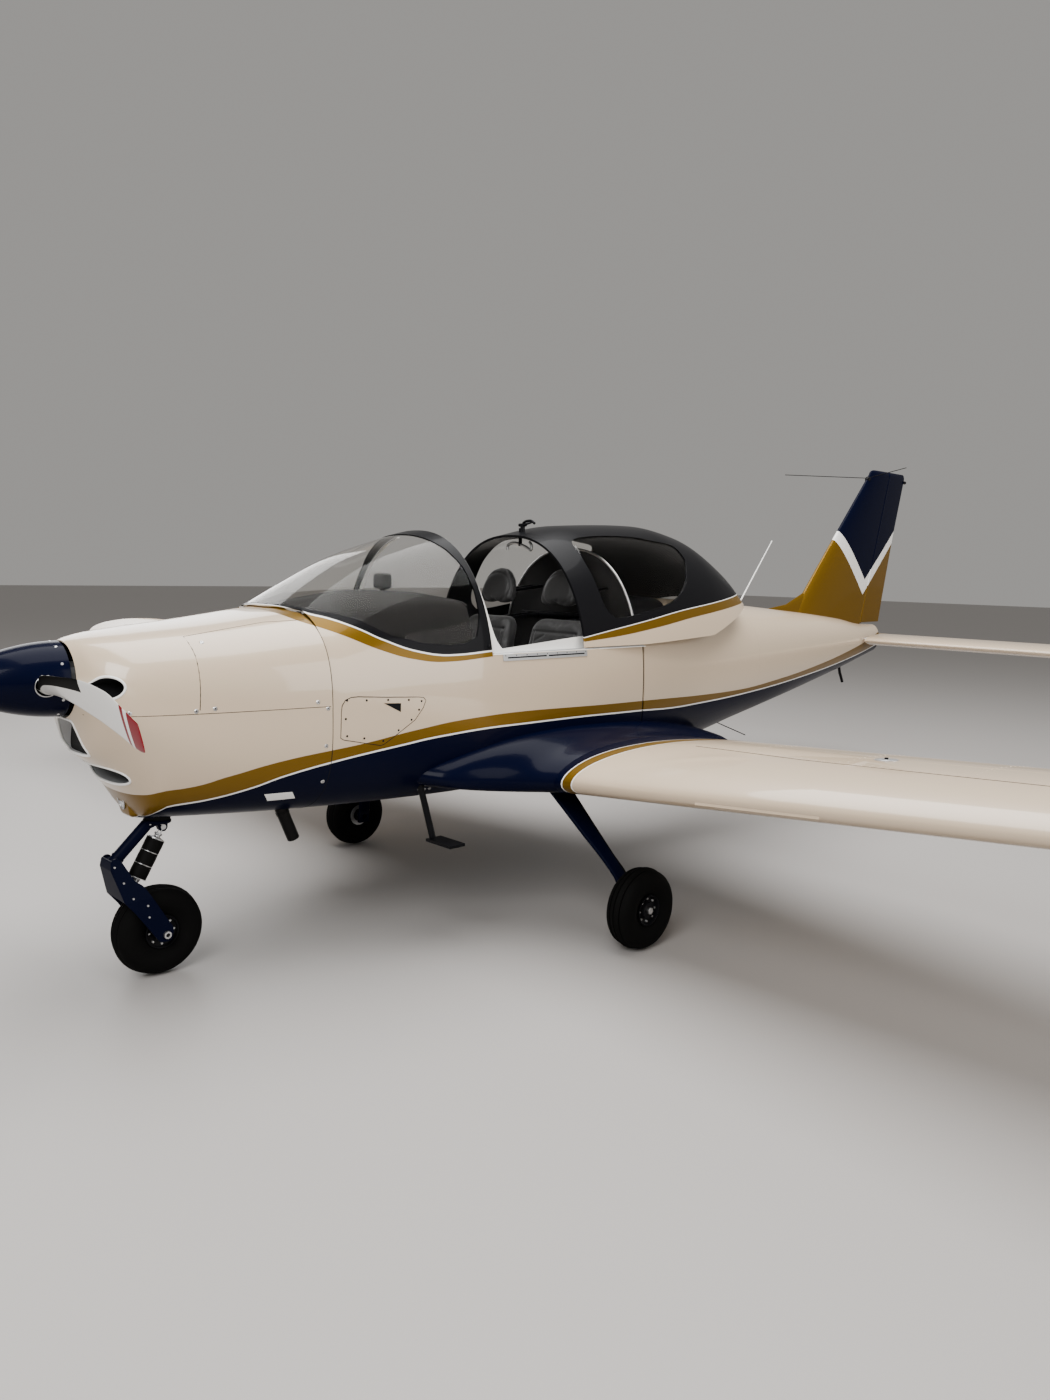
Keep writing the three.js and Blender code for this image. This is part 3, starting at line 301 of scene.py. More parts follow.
def smooth(table, value, column=1):
    """Smooth value of a column between a table's rows."""
    if value <= table[0][0]:
        return table[0][column]
    if value >= table[-1][0]:
        return table[-1][column]
    row = max(i for i, entry in enumerate(table) if entry[0] <= value)
    low, high = table[row], table[row + 1]
    run = high[0] - low[0]
    t = (value - low[0]) / run
    rise = 3 * t**2 - 2 * t**3
    start = (t**3 - 2 * t**2 + t) * run * slope(table, row, column)
    end = (t**3 - t**2) * run * slope(table, row + 1, column)
    return low[column] + (high[column] - low[column]) * rise + start + end


def between(before, here, there, after, share):
    """Point part of the way from here to there, on a smooth line through all four."""
    return (
        0.5 * ((2 * here) + (there - before) * share
               + (2 * before - 5 * here + 4 * there - after) * share**2
               + (3 * here - before - 3 * there + after) * share**3)
    )


def closed_curve(corners, count=12):
    """Smooth closed line through given corners."""
    points = []
    for i in range(len(corners)):
        four = [Vector(corners[(i + k) % len(corners)]) for k in (-1, 0, 1, 2)]
        points += [between(*four, step / count) for step in range(count)]
    return points


def curved(corners, count=6):
    """Smooth open line through points."""
    ends = [corners[0] * 2 - corners[1], *corners, corners[-1] * 2 - corners[-2]]
    points = []
    for four in zip(ends, ends[1:], ends[2:], ends[3:]):
        points += [between(*four, step / count) for step in range(count)]
    return [*points, corners[-1]]


def circle(count):
    """Even angles of a full turn."""
    return [2 * math.pi * i / count for i in range(count)]


def bulge(value, power):
    """A power of a value that keeps its sign, for sections between an oval and a box."""
    return math.copysign(abs(value) ** power, value)


def to_side(point, side):
    """A vector to starboard, or its mirror image to port."""
    return Vector((point.x, point.y * side, point.z))


def linked(name, data):
    """New object in the scene."""
    obj = bpy.data.objects.new(name, data)
    bpy.context.scene.collection.objects.link(obj)
    return obj


def shaded(mesh, sharp):
    """Smooth shading with edges over an angle in degrees kept sharp."""
    mesh.shade_smooth()
    mesh.set_sharp_from_angle(angle=math.radians(sharp))


def turn_out(mesh):
    """Merge doubles and point the faces of a closed mesh outwards."""
    work = bmesh.new()
    work.from_mesh(mesh)
    bmesh.ops.remove_doubles(work, verts=work.verts, dist=1e-6)
    bmesh.ops.recalc_face_normals(work, faces=work.faces)
    if work.calc_volume(signed=True) < 0:
        bmesh.ops.reverse_faces(work, faces=work.faces)
    work.to_mesh(mesh)
    work.free()


def piece(name, points, faces, finish, sharp=40, closed=True):
    """New object from points and faces."""
    mesh = bpy.data.meshes.new(name)
    mesh.from_pydata([tuple(point) for point in points], [], faces)
    mesh.validate()
    if closed:
        turn_out(mesh)
    shaded(mesh, sharp)
    mesh.materials.append(finish)
    return linked(name, mesh)


def skin(rows, closed=False, caps=True):
    """Points and faces over rows that all have the same number of points."""
    count = len(rows[0])
    points = [point for row in rows for point in row]
    faces = []
    for row in range(len(rows) - 1):
        for i in range(count if closed else count - 1):
            a = row * count + i
            b = row * count + (i + 1) % count
            faces.append((a, b, b + count, a + count))
    if closed and caps:
        faces.append(tuple(reversed(range(count))))
        last = (len(rows) - 1) * count
        faces.append(tuple(last + i for i in range(count)))
    return points, faces


def loft(name, rings, finish, sharp=40, caps=True):
    """Closed solid through rings that all have the same number of points."""
    points, faces = skin(rings, closed=True, caps=caps)
    return piece(name, points, faces, finish, sharp)


def plain_mesh(obj, sharp=40):
    """Apply an object's modifiers."""
    bpy.context.view_layer.update()
    evaluated = obj.evaluated_get(bpy.context.evaluated_depsgraph_get())
    mesh = bpy.data.meshes.new_from_object(evaluated)
    obj.modifiers.clear()
    old = obj.data
    obj.data = mesh
    bpy.data.meshes.remove(old)
    shaded(mesh, sharp)
    return obj


def shell(name, rows, finish, thickness, sharp=40, inside=None, closed=False, lining=None):
    """Thin wall inwards of an open sheet of rows, with its own finish inside where one is given."""
    points, faces = skin(rows, closed=closed, caps=False)
    obj = piece(name, points, faces, finish, sharp, closed=False)
    work = bmesh.new()
    work.from_mesh(obj.data)
    bmesh.ops.remove_doubles(work, verts=work.verts, dist=1e-6)
    bmesh.ops.recalc_face_normals(work, faces=work.faces)
    centre = inside or sum((vert.co for vert in work.verts), Vector()) / len(work.verts)
    facing = 0
    for face in work.faces:
        middle = face.calc_center_median()
        axis = Vector((middle.x, centre.y, centre.z))
        facing += face.normal.dot(middle - axis) * face.calc_area()
    if facing < 0:
        bmesh.ops.reverse_faces(work, faces=work.faces)
    work.to_mesh(obj.data)
    work.free()
    wall = obj.modifiers.new("wall", "SOLIDIFY")
    wall.thickness = thickness
    wall.offset = -1
    wall.use_even_offset = False
    if lining:
        obj.data.materials.append(lining)
        wall.material_offset = 1
    return plain_mesh(obj, sharp)


def cut(obj, cutters, operation="DIFFERENCE", sharp=40):
    """Cut an object with closed objects, which are then removed."""
    for cutter in cutters:
        boolean = obj.modifiers.new("cut", "BOOLEAN")
        boolean.operation = operation
        boolean.solver = "EXACT"
        boolean.object = cutter
    plain_mesh(obj, sharp)
    for cutter in cutters:
        bpy.data.objects.remove(cutter)
    return obj


def join(name, objects):
    """One object from several, with all their materials."""
    mesh = bpy.data.meshes.new(name)
    work = bmesh.new()
    for obj in objects:
        base = len(mesh.materials)
        for material in obj.data.materials:
            mesh.materials.append(material)
        before = len(work.faces)
        work.from_mesh(obj.data)
        work.faces.ensure_lookup_table()
        for face in work.faces[before:]:
            face.material_index += base
    work.to_mesh(mesh)
    work.free()
    joined = linked(name, mesh)
    for obj in objects:
        bpy.data.objects.remove(obj)
    return joined


def prism(name, outline, low, high, finish, axis="Y"):
    """Closed prism of an outline of pairs, along one axis from low to high, in millimetres."""
    place = {
        "X": lambda a, b, depth: at(depth, a, b),
        "Y": lambda a, b, depth: at(a, depth, b),
        "Z": lambda a, b, depth: at(a, b, depth),
    }[axis]
    rows = [[place(a, b, depth) for a, b in outline] for depth in (low, high)]
    return loft(name, rows, finish)


def eased(outline, radius, count=4):
    """An outline with its corners rounded."""
    points = []
    for i, corner in enumerate(outline):
        here = Vector(corner)
        before, after = Vector(outline[i - 1]), Vector(outline[(i + 1) % len(outline)])
        reach = min(radius, (before - here).length * 0.45, (after - here).length * 0.45)
        first = here + (before - here).normalized() * reach
        last = here + (after - here).normalized() * reach
        for step in range(count + 1):
            t = step / count
            points.append(tuple(first * (1 - t) ** 2 + here * 2 * t * (1 - t) + last * t**2))
    return points


def rod(name, start, end, radius, coat, sides=32):
    """Round bar between two corners of station, distance across and height."""
    return tube(name, [at(*start), at(*end)], radius * MM, finish(coat), sides)


def spokes(along, side, count):
    """Unit directions round an axis, from a first one."""
    other = along.cross(side)
    return [side * math.cos(angle) + other * math.sin(angle) for angle in circle(count)]


def tube(name, points, radius, finish, sides=8, closed=False, sharp=60):
    """Round tube along points in metres."""
    rows = []
    side = None
    for i, point in enumerate(points):
        if closed:
            along = points[(i + 1) % len(points)] - points[i - 1]
        else:
            along = points[min(i + 1, len(points) - 1)] - points[max(i - 1, 0)]
        along.normalize()
        if side is None:
            side = along.orthogonal().normalized()
        side = (side - along * side.dot(along)).normalized()
        rows.append([point + spoke * radius for spoke in spokes(along, side, sides)])
    if closed:
        rows.append(rows[0])
    return loft(name, rows, finish, sharp, caps=not closed)


def turned(name, rows, centre, axis, finish, sides=64, sharp=35):
    """Closed solid turned about an axis through a centre; rows hold distance along it and radius, in mm."""
    along = Vector(axis).normalized()
    around = spokes(along, along.orthogonal().normalized(), sides)
    rings = [
        [centre + along * distance * MM + spoke * max(radius, 0.001) * MM for spoke in around]
        for distance, radius in rows
    ]
    return loft(name, rings, finish, sharp, caps=rows[0] != rows[-1])


def disc(low, high, radius):
    """Rows of a plain disc, to be turned."""
    return [(low, 0), (low, radius), (high, radius), (high, 0)]


def rounded_box(name, low, high, finish, radius=4, segments=3):
    """Box between two corners in millimetres, with round edges."""
    low, high = at(*low), at(*high)
    work = bmesh.new()
    bmesh.ops.create_cube(work, size=1)
    middle = (low + high) / 2
    size = high - low
    for vert in work.verts:
        vert.co = Vector(vert.co[k] * size[k] + middle[k] for k in range(3))
    bmesh.ops.bevel(
        work, geom=work.edges[:], offset=radius * MM, segments=segments, affect="EDGES", profile=0.5
    )
    mesh = bpy.data.meshes.new(name)
    work.to_mesh(mesh)
    work.free()
    turn_out(mesh)
    shaded(mesh, 50)
    mesh.materials.append(finish)
    return linked(name, mesh)


def seat_on(obj, body, slot, *nodes):
    """Let a finished piece ride its body and stand for its nodes. The slot argument is not used."""
    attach(obj, body)
    if nodes:
        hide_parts(*nodes)
    return obj


def dress(node, finish):
    """Give a kept node its finish."""
    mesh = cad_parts[node].data
    mesh.materials.clear()
    mesh.materials.append(finish)


STUD_SOCKETS = (("Radius", "NodeSocketFloat"), ("Height", "NodeSocketFloat"), ("Sides", "NodeSocketInt"),
                ("Finish", "NodeSocketMaterial"))


def stud_tree():
    """Tree that puts a low head on each point, turned along the point's facing."""
    name = "stud_heads"
    if name in bpy.data.node_groups:
        return bpy.data.node_groups[name]
    tree = bpy.data.node_groups.new(name, "GeometryNodeTree")
    tree.interface.new_socket("Points", in_out="INPUT", socket_type="NodeSocketGeometry")
    for label, kind in STUD_SOCKETS:
        tree.interface.new_socket(label, in_out="INPUT", socket_type=kind)
    tree.interface.new_socket("Heads", in_out="OUTPUT", socket_type="NodeSocketGeometry")
    start, end = tree.nodes.new("NodeGroupInput"), tree.nodes.new("NodeGroupOutput")
    head = tree.nodes.new("GeometryNodeMeshCone")
    taper = tree.nodes.new("ShaderNodeMath")
    taper.operation = "MULTIPLY"
    taper.inputs[1].default_value = 0.72
    facing = tree.nodes.new("GeometryNodeInputNamedAttribute")
    facing.data_type = "FLOAT_VECTOR"
    facing.inputs["Name"].default_value = "facing"
    turn = tree.nodes.new("FunctionNodeAlignRotationToVector")
    turn.axis = "Z"
    place = tree.nodes.new("GeometryNodeInstanceOnPoints")
    real = tree.nodes.new("GeometryNodeRealizeInstances")
    coat = tree.nodes.new("GeometryNodeSetMaterial")
    for output, socket in (
        (start.outputs["Radius"], taper.inputs[0]),
        (taper.outputs[0], head.inputs["Radius Top"]),
        (start.outputs["Radius"], head.inputs["Radius Bottom"]),
        (start.outputs["Height"], head.inputs["Depth"]),
        (start.outputs["Sides"], head.inputs["Vertices"]),
        (facing.outputs[0], turn.inputs["Vector"]),
        (start.outputs["Points"], place.inputs["Points"]),
        (head.outputs["Mesh"], place.inputs["Instance"]),
        (turn.outputs[0], place.inputs["Rotation"]),
        (place.outputs[0], real.inputs[0]),
        (real.outputs[0], coat.inputs["Geometry"]),
        (start.outputs["Finish"], coat.inputs["Material"]),
        (coat.outputs[0], end.inputs["Heads"]),
    ):
        tree.links.new(output, socket)
    return tree


def studs(name, spots, radius, height, sides, coat):
    """Heads of screws or rivets at pairs of place and facing, as one plain mesh."""
    mesh = bpy.data.meshes.new(name)
    mesh.from_pydata([tuple(place) for place, facing in spots], [], [])
    facings = mesh.attributes.new("facing", "FLOAT_VECTOR", "POINT")
    for item, (place, facing) in zip(facings.data, spots):
        item.vector = facing
    obj = linked(name, mesh)
    tree = stud_tree()
    heads = obj.modifiers.new("heads", "NODES")
    heads.node_group = tree
    values = {"Radius": radius, "Height": height, "Sides": sides, "Finish": coat}
    for item in tree.interface.items_tree:
        if item.in_out == "INPUT" and item.name in values:
            heads[item.identifier] = values[item.name]
    return plain_mesh(obj, 30)


class Shade:
    """A material's tree, with short calls for the nodes that the finishes use."""

    def __init__(self, name, roughness=0.4, metallic=0.0, coat=0.0, coat_roughness=0.05):
        self.material = bpy.data.materials.new(name)
        self.material.use_nodes = True
        self.tree = self.material.node_tree
        self.surface = self.tree.nodes["Principled BSDF"]
        self.surface.inputs["Roughness"].default_value = roughness
        self.surface.inputs["Metallic"].default_value = metallic
        self.surface.inputs["Coat Weight"].default_value = coat
        self.surface.inputs["Coat Roughness"].default_value = coat_roughness
        self.place = self.node("ShaderNodeTexCoord").outputs["Object"]
        split = self.node("ShaderNodeSeparateXYZ")
        self.feed(split.inputs[0], self.place)
        self.station = self.math("SUBTRACT", split.outputs[0], NOSE)
        self.across = self.math("ABSOLUTE", split.outputs[1])
        self.y = split.outputs[1]
        self.height = split.outputs[2]

    def node(self, kind, **settings):
        node = self.tree.nodes.new(kind)
        for name, value in settings.items():
            setattr(node, name, value)
        return node

    def feed(self, socket, value):
        if isinstance(value, bpy.types.NodeSocket):
            self.tree.links.new(value, socket)
        else:
            socket.default_value = value

    def math(self, operation, *values, clamp=False):
        node = self.node("ShaderNodeMath", operation=operation, use_clamp=clamp)
        for socket, value in zip(node.inputs, values):
            self.feed(socket, value)
        return node.outputs[0]

    def mix(self, share, first, second):
        node = self.node("ShaderNodeMix", data_type="RGBA")
        for index, value in ((0, share), (6, first), (7, second)):
            self.feed(node.inputs[index], value)
        return node.outputs[2]

    def line(self, along, table, handles="AUTO_CLAMPED"):
        """Height in metres of a line given in millimetres, at a socket's position along it."""
        low_x, high_x = table[0][0], table[-1][0]
        low_z = min(row[1] for row in table)
        high_z = max(row[1] for row in table)
        share = self.math("DIVIDE", self.math("SUBTRACT", along, low_x * MM), (high_x - low_x) * MM)
        node = self.node("ShaderNodeFloatCurve")
        curve = node.mapping.curves[0]
        spots = [((x - low_x) / (high_x - low_x), (z - low_z) / (high_z - low_z)) for x, z in table]
        curve.points[0].location = spots[0]
        curve.points[-1].location = spots[-1]
        for spot in spots[1:-1]:
            curve.points.new(*spot)
        for point in curve.points:
            point.handle_type = handles
        node.mapping.update()
        self.feed(node.inputs["Value"], share)
        return self.math("MULTIPLY_ADD", node.outputs[0], (high_z - low_z) * MM, low_z * MM)

    def under(self, value, limit, soft=0.0008):
        """1 where value is under limit, 0 above it, with a soft step."""
        gap = self.math("SUBTRACT", limit, value)
        return self.math("MULTIPLY_ADD", gap, 1 / soft, 0.5, clamp=True)

    def both(self, first, second):
        return self.math("MULTIPLY", first, second)

    def noise(self, scale, detail=3.0):
        node = self.node("ShaderNodeTexNoise")
        self.feed(node.inputs["Vector"], self.place)
        node.inputs["Scale"].default_value = scale
        node.inputs["Detail"].default_value = detail
        return node.outputs["Fac"]

    def varied(self, tint, amount, scale=3.0):
        """A colour that drifts a little over the surface."""
        shift = self.math("MULTIPLY_ADD", self.noise(scale), amount, 1 - amount / 2)
        node = self.node("ShaderNodeVectorMath", operation="SCALE")
        self.feed(node.inputs[0], tint[:3] if isinstance(tint, tuple) else tint)
        self.feed(node.inputs["Scale"], shift)
        return node.outputs[0]

    def bump(self, height, strength, distance=0.001):
        node = self.node("ShaderNodeBump")
        node.inputs["Strength"].default_value = strength
        node.inputs["Distance"].default_value = distance
        self.feed(node.inputs["Height"], height)
        self.feed(self.surface.inputs["Normal"], node.outputs[0])

    def layered(self, ground, *layers):
        """Ground colour under layers, each with its share and the name of its colour."""
        for share, name in layers:
            ground = self.mix(share, ground, tint(name))
        return ground

    def paint(self, tint):
        self.feed(self.surface.inputs["Base Color"], tint)
        return self.material

    def calm(self, tint):
        """Let dark paint mirror the pale studio less than pale paint."""
        grey = self.node("ShaderNodeRGBToBW")
        self.feed(grey.inputs[0], tint)
        share = self.math("MULTIPLY_ADD", grey.outputs[0], 2.0, 0.06, clamp=True)
        self.surface.inputs["Specular IOR Level"].default_value = 0.3
        self.feed(self.surface.inputs["Coat Weight"], self.math("MULTIPLY", share, 0.7))
        self.feed(self.surface.inputs["Specular IOR Level"], self.math("MULTIPLY", share, 0.5))
        return self.paint(tint)


def tint(name):
    """A colour of the palette, with alpha."""
    return (*getattr(bpy.context.scene.trainer_colours, name), 1.0)


def sizes():
    return bpy.context.scene.trainer_sizes


PIN = 0.007
GOLD_METAL = 0.35


def coated(shade, result, gold, grain, strength, drift=0.05, scale=1.4):
    """Gloss paint whose gold is half metal, with faint texture and drift."""
    shade.feed(shade.surface.inputs["Metallic"], shade.math("MULTIPLY", gold, GOLD_METAL))
    shade.bump(shade.noise(grain), strength)
    return shade.calm(shade.varied(result, drift, scale))


def body_paint():
    """Ivory body, gold belly stripe with a white pin, navy belly, and the stripe under the windscreen."""
    shade = Shade("body_paint", roughness=0.32, coat=0.7, coat_roughness=0.04)
    station, height = shade.station, shade.height
    navy_top = shade.line(station, NAVY_TOP)
    below_gold = shade.under(height, shade.line(station, GOLD_TOP))
    below_pin = shade.under(height, shade.math("ADD", navy_top, PIN))
    below_navy = shade.under(height, navy_top)
    ahead = shade.under(station, ARCH * MM)
    gold_foot = shade.line(station, SCREEN_GOLD)
    black_foot = shade.line(station, SCREEN_BLACK)
    pin_foot = shade.math("SUBTRACT", black_foot, PIN)
    above_gold, above_pin, above_black = (
        shade.both(ahead, shade.under(foot, height)) for foot in (gold_foot, pin_foot, black_foot)
    )
    deck_foot = shade.line(station, DECK_EDGE)
    deck = shade.both(shade.under(BULKHEAD * MM, station), shade.under(deck_foot, height))
    result = shade.layered(
        tint("ivory"), (below_gold, "gold"), (below_pin, "white"), (below_navy, "navy"),
        (above_gold, "gold"), (above_pin, "white"), (above_black, "black"), (deck, "black"),
    )
    low_gold = shade.math("SUBTRACT", below_gold, below_pin)
    high_gold = shade.math("SUBTRACT", above_gold, above_pin)
    return coated(shade, result, shade.math("MAXIMUM", low_gold, high_gold), 700.0, 0.02)


def canopy_paint():
    """Black frame over a gold stripe and an ivory foot, at the open canopy's place."""
    shade = Shade("canopy_paint", roughness=0.3, coat=0.7, coat_roughness=0.04)
    gold_top = shade.line(shade.station, CANOPY_GOLD_TOP)
    gold_foot = shade.line(shade.station, CANOPY_GOLD_FOOT)
    below_black = shade.under(shade.height, shade.math("ADD", gold_top, PIN * 0.6))
    below_pin = shade.under(shade.height, gold_top)
    below_gold = shade.under(shade.height, gold_foot)
    result = shade.layered(
        tint("black"), (below_black, "white"), (below_pin, "gold"), (below_gold, "ivory")
    )
    return coated(shade, result, shade.math("SUBTRACT", below_pin, below_gold), 700.0, 0.02)


def wing_paint():
    """Ivory wing with a gold band and white pins round its root, navy inboard of them."""
    shade = Shade("wing_paint", roughness=0.32, coat=0.7, coat_roughness=0.04)
    outer = shade.line(shade.station, BAND_OUTER)
    inner = shade.line(shade.station, BAND_INNER)
    in_pin, in_gold, in_white, in_navy = (
        shade.under(shade.across, limit)
        for limit in (shade.math("ADD", outer, PIN), outer, inner, shade.math("SUBTRACT", inner, PIN))
    )
    result = shade.layered(
        tint("ivory"), (in_pin, "white"), (in_gold, "gold"), (in_white, "white"), (in_navy, "navy")
    )
    return coated(shade, result, shade.math("SUBTRACT", in_gold, in_white), 600.0, 0.03, 0.05, 1.2)


def fin_paint():
    """Gold foot, white V and navy top."""
    shade = Shade("fin_paint", roughness=0.3, coat=0.7, coat_roughness=0.04)
    below_top, below_foot = (
        shade.under(shade.height, shade.line(shade.station, edge, "VECTOR"))
        for edge in (FIN_V_TOP, FIN_V_FOOT)
    )
    result = shade.layered(tint("navy"), (below_top, "white"), (below_foot, "gold"))
    return coated(shade, result, below_foot, 600.0, 0.03, 0.06, 2.0)


def gloss(name, tint_name, roughness=0.3, metallic=0.0, coat=0.6, scale=2.0):
    """Gloss paint of one colour with faint drift and texture."""
    share = min(1.0, sum(tint(tint_name)[:3]) * 0.7 + 0.06)
    shade = Shade(name, roughness, metallic, coat * share)
    shade.surface.inputs["Specular IOR Level"].default_value = 0.5 * share
    shade.bump(shade.noise(600.0), 0.03)
    return shade.paint(shade.varied(tint(tint_name), 0.08, scale))


def metal(name, tint_name="steel", roughness=0.3, scale=90.0):
    """Bare metal with fine grain."""
    shade = Shade(name, roughness, 1.0)
    shade.bump(shade.noise(900.0), 0.05)
    return shade.paint(shade.varied(tint(tint_name), 0.18, scale))


def matt(name, tint_name, roughness=0.75, grain=500.0, strength=0.25):
    """Moulded or rubber surface with grain."""
    shade = Shade(name, roughness)
    shade.surface.inputs["Specular IOR Level"].default_value = min(0.5, 0.05 + sum(tint(tint_name)[:3]) * 4)
    shade.bump(shade.noise(grain), strength)
    return shade.paint(shade.varied(tint(tint_name), 0.3, 12.0))


def leather():
    """Seat leather with fine creases."""
    shade = Shade("seat_leather", roughness=0.5)
    cells = shade.node("ShaderNodeTexVoronoi", feature="DISTANCE_TO_EDGE")
    shade.feed(cells.inputs["Vector"], shade.place)
    cells.inputs["Scale"].default_value = 260.0
    grain = shade.math("MINIMUM", shade.math("MULTIPLY", cells.outputs["Distance"], 6.0), 1.0)
    shade.bump(shade.math("ADD", grain, shade.noise(60.0)), 0.25)
    shade.surface.inputs["Sheen Weight"].default_value = 0.15
    return shade.paint(shade.varied(tint("leather"), 0.3, 8.0))


def clear_pane():
    """Clear acrylic."""
    shade = Shade("clear_pane", roughness=0.02)
    shade.surface.inputs["Transmission Weight"].default_value = 1.0
    shade.surface.inputs["IOR"].default_value = 1.1
    shade.surface.inputs["Specular IOR Level"].default_value = 1.0
    shade.surface.inputs["Base Color"].default_value = (0.93, 0.92, 0.90, 1.0)
    return shade.material


def blade_paint():
    """White blade with a red tip and a thin red stripe inboard of it."""
    shade = Shade("blade_paint", roughness=0.28, coat=0.5)
    up = shade.math("SUBTRACT", shade.height, THRUST_Z * MM)
    across = shade.math("MULTIPLY", shade.y, shade.y)
    reach = shade.math("SQRT", shade.math("MULTIPLY_ADD", up, up, across))
    tip = shade.under(0.822, reach)
    stripe = shade.both(shade.under(0.784, reach), shade.under(reach, 0.802))
    red = shade.math("MAXIMUM", tip, stripe)
    shade.bump(shade.noise(500.0), 0.03)
    return shade.calm(shade.varied(shade.mix(red, tint("white"), tint("red")), 0.05))


def lens():
    """Fluted lamp glass over a bright bowl."""
    shade = Shade("lamp_lens", roughness=0.12, coat=1.0)
    flutes = shade.math("SINE", shade.math("MULTIPLY", shade.y, 1100.0))
    shade.bump(flutes, 0.4)
    return shade.paint(shade.varied((0.62, 0.64, 0.66, 1.0), 0.3, 40.0))


def radiator():
    """Dark fins of a cooler, close together, with shade painted into the hollows between them."""
    shade = Shade("radiator_core", roughness=0.8)
    fins = shade.math("SINE", shade.math("MULTIPLY", shade.y, 900.0))
    rows = shade.math("SINE", shade.math("MULTIPLY", shade.height, 420.0))
    weave = shade.both(fins, rows)
    shade.bump(weave, 0.8, 0.003)
    # Painted shade: the colour darkens in the weave's hollows and lightens on its ridges, in step with the
    # bump.
    light = shade.math("MULTIPLY_ADD", weave, 0.5, 0.5, clamp=True)
    return shade.paint(shade.mix(light, (0.001, 0.001, 0.001, 1.0), (0.02, 0.02, 0.02, 1.0)))


def scoop_shade_paint():
    """Grey floor of the scoop under its upper half, which is painted black as painted shadow of the deep
    duct.
    """
    shade = Shade("scoop_shade_paint", roughness=0.5)
    # Painted shadow: above the floor's height the colour is black for the shade in the scoop's deep top.
    floor = shade.under(shade.height, (SCOOP_Z + 6) * MM, 0.003)
    return shade.calm(shade.mix(floor, tint("black"), (0.6, 0.61, 0.62, 1.0)))


FINISHES = {}


def finish(name):
    """A finish by name, made once."""
    makers = {
        "body": body_paint,
        "canopy": canopy_paint,
        "wing": wing_paint,
        "fin": fin_paint,
        "ivory": lambda: gloss("ivory_paint", "ivory"),
        "navy": lambda: gloss("navy_paint", "navy", 0.22),
        "gold": lambda: gloss("gold_paint", "gold", 0.32, 0.5),
        "black": lambda: gloss("black_trim", "black", 0.3),
        "white": lambda: gloss("white_trim", "white", 0.35),
        "gear": lambda: gloss("gear_paint", "navy", 0.45, 0.0, 0.0),
        "scoop": scoop_shade_paint,
        "leather": leather,
        "pane": clear_pane,
        "blade": blade_paint,
        "lens": lens,
        "radiator": radiator,
        "screen": lambda: gloss("screen_glass", "black", 0.08, 0.0, 1.0),
        "red": lambda: gloss("red_knob", "red", 0.35),
        "green": lambda: gloss("green_lens", "green", 0.2),
        "lining": lambda: matt("cabin_lining", "leather", 0.85, 900.0, 0.3),
        "duct": lambda: gloss("duct_paint", "steel", 0.5, 0.0, 0.2),
        "cast": lambda: metal("engine_metal", "steel", 0.55, 30.0),
        "exhaust": lambda: metal("exhaust_steel", "leather", 0.5),
        "tyre": lambda: matt("tyre_rubber", "rubber", 0.8, 300.0, 0.2),
        "rubber": lambda: matt("shock_rubber", "rubber", 0.6),
        "plastic": lambda: matt("trim_plastic", "leather", 0.7, 700.0, 0.35),
        "dark": lambda: matt("duct_black", "black", 0.9),
        "steel": lambda: metal("bare_steel"),
        "satin": lambda: metal("rail_metal", "steel", 0.42),
    }
    if name not in FINISHES:
        FINISHES[name] = makers[name]()
    return FINISHES[name]


def section(station, glazed=False):
    """Bottom, widest height, top, half width and both roundnesses of the body at a station."""
    values = [smooth(HULL, station, column) for column in range(1, 7)]
    if glazed:
        values[2] = max(values[2], smooth(GLAZED_TOP, station, 1))
        values[4] = smooth(GLAZED_TOP, station, 2)
    return values


def body_point(station, angle, glazed=False, inset=0.0):
    """Point on the body's section at an angle, 0 to starboard and 90 degrees at the top."""
    bottom, middle, top, half, upper, lower = section(station, glazed)
    across, up = math.cos(angle), math.sin(angle)
    power = 2 / (upper if up > 0 else lower)
    rise = top - middle if up > 0 else middle - bottom
    y = bulge(across, power) * (half - inset)
    z = middle + bulge(up, power) * (rise - inset)
    if not glazed and station > BULKHEAD and z > middle:
        y += math.copysign(sill_flare(station, z), across) if abs(across) > 1e-6 else 0.0
    return at(station, y, z)


FLARE_END = 3600
FLARE_FADE = 90


def sill_flare(station, z):
    """How far the rear body stands out at the rails, to meet the cabin's wider side."""
    share = max(0.0, (FLARE_END - station) / (FLARE_END - BULKHEAD))
    middle, top, half, upper = section(BULKHEAD)[1:5]
    glazed = section(BULKHEAD, True)

    def side(height, crown, power):
        up = min(1.0, max(0.0, (height - middle) / (crown - middle))) ** (power / 2)
        return max(0.0, 1 - up * up) ** (1 / power) * half

    capped = min(z, SILL_Z)
    gap = side(capped, glazed[2], glazed[4]) - side(capped, top, upper)
    fade = max(0.0, 1 - max(0.0, z - SILL_Z) / FLARE_FADE)
    return gap * share * share * (3 - 2 * share) * fade * fade * (3 - 2 * fade)


def angle_at(station, z, glazed=False):
    """Angle on the starboard side where the section reaches a height."""
    bottom, middle, top, _, upper, lower = section(station, glazed)
    if z >= middle:
        return math.asin(min(1.0, (z - middle) / (top - middle)) ** (upper / 2))
    return -math.asin(min(1.0, (middle - z) / (middle - bottom)) ** (lower / 2))


def arc_rows(stations, edge, way, glazed, inset):
    """Rows from a height line to starboard, over the top or under the belly, to the line to port."""
    count = sizes().ring_points
    rows = []
    for station in stations:
        start = angle_at(station, edge(station), glazed)
        sweep = way * math.pi - 2 * start
        turns = [start + sweep * i / count for i in range(count + 1)]
        rows.append([body_point(station, turn, glazed, inset) for turn in turns])
    return rows


def over_rows(stations, foot, glazed=False, inset=0.0):
    return arc_rows(stations, foot, 1, glazed, inset)


def under_rows(stations, head, glazed=False, inset=0.0):
    return arc_rows(stations, head, -1, glazed, inset)


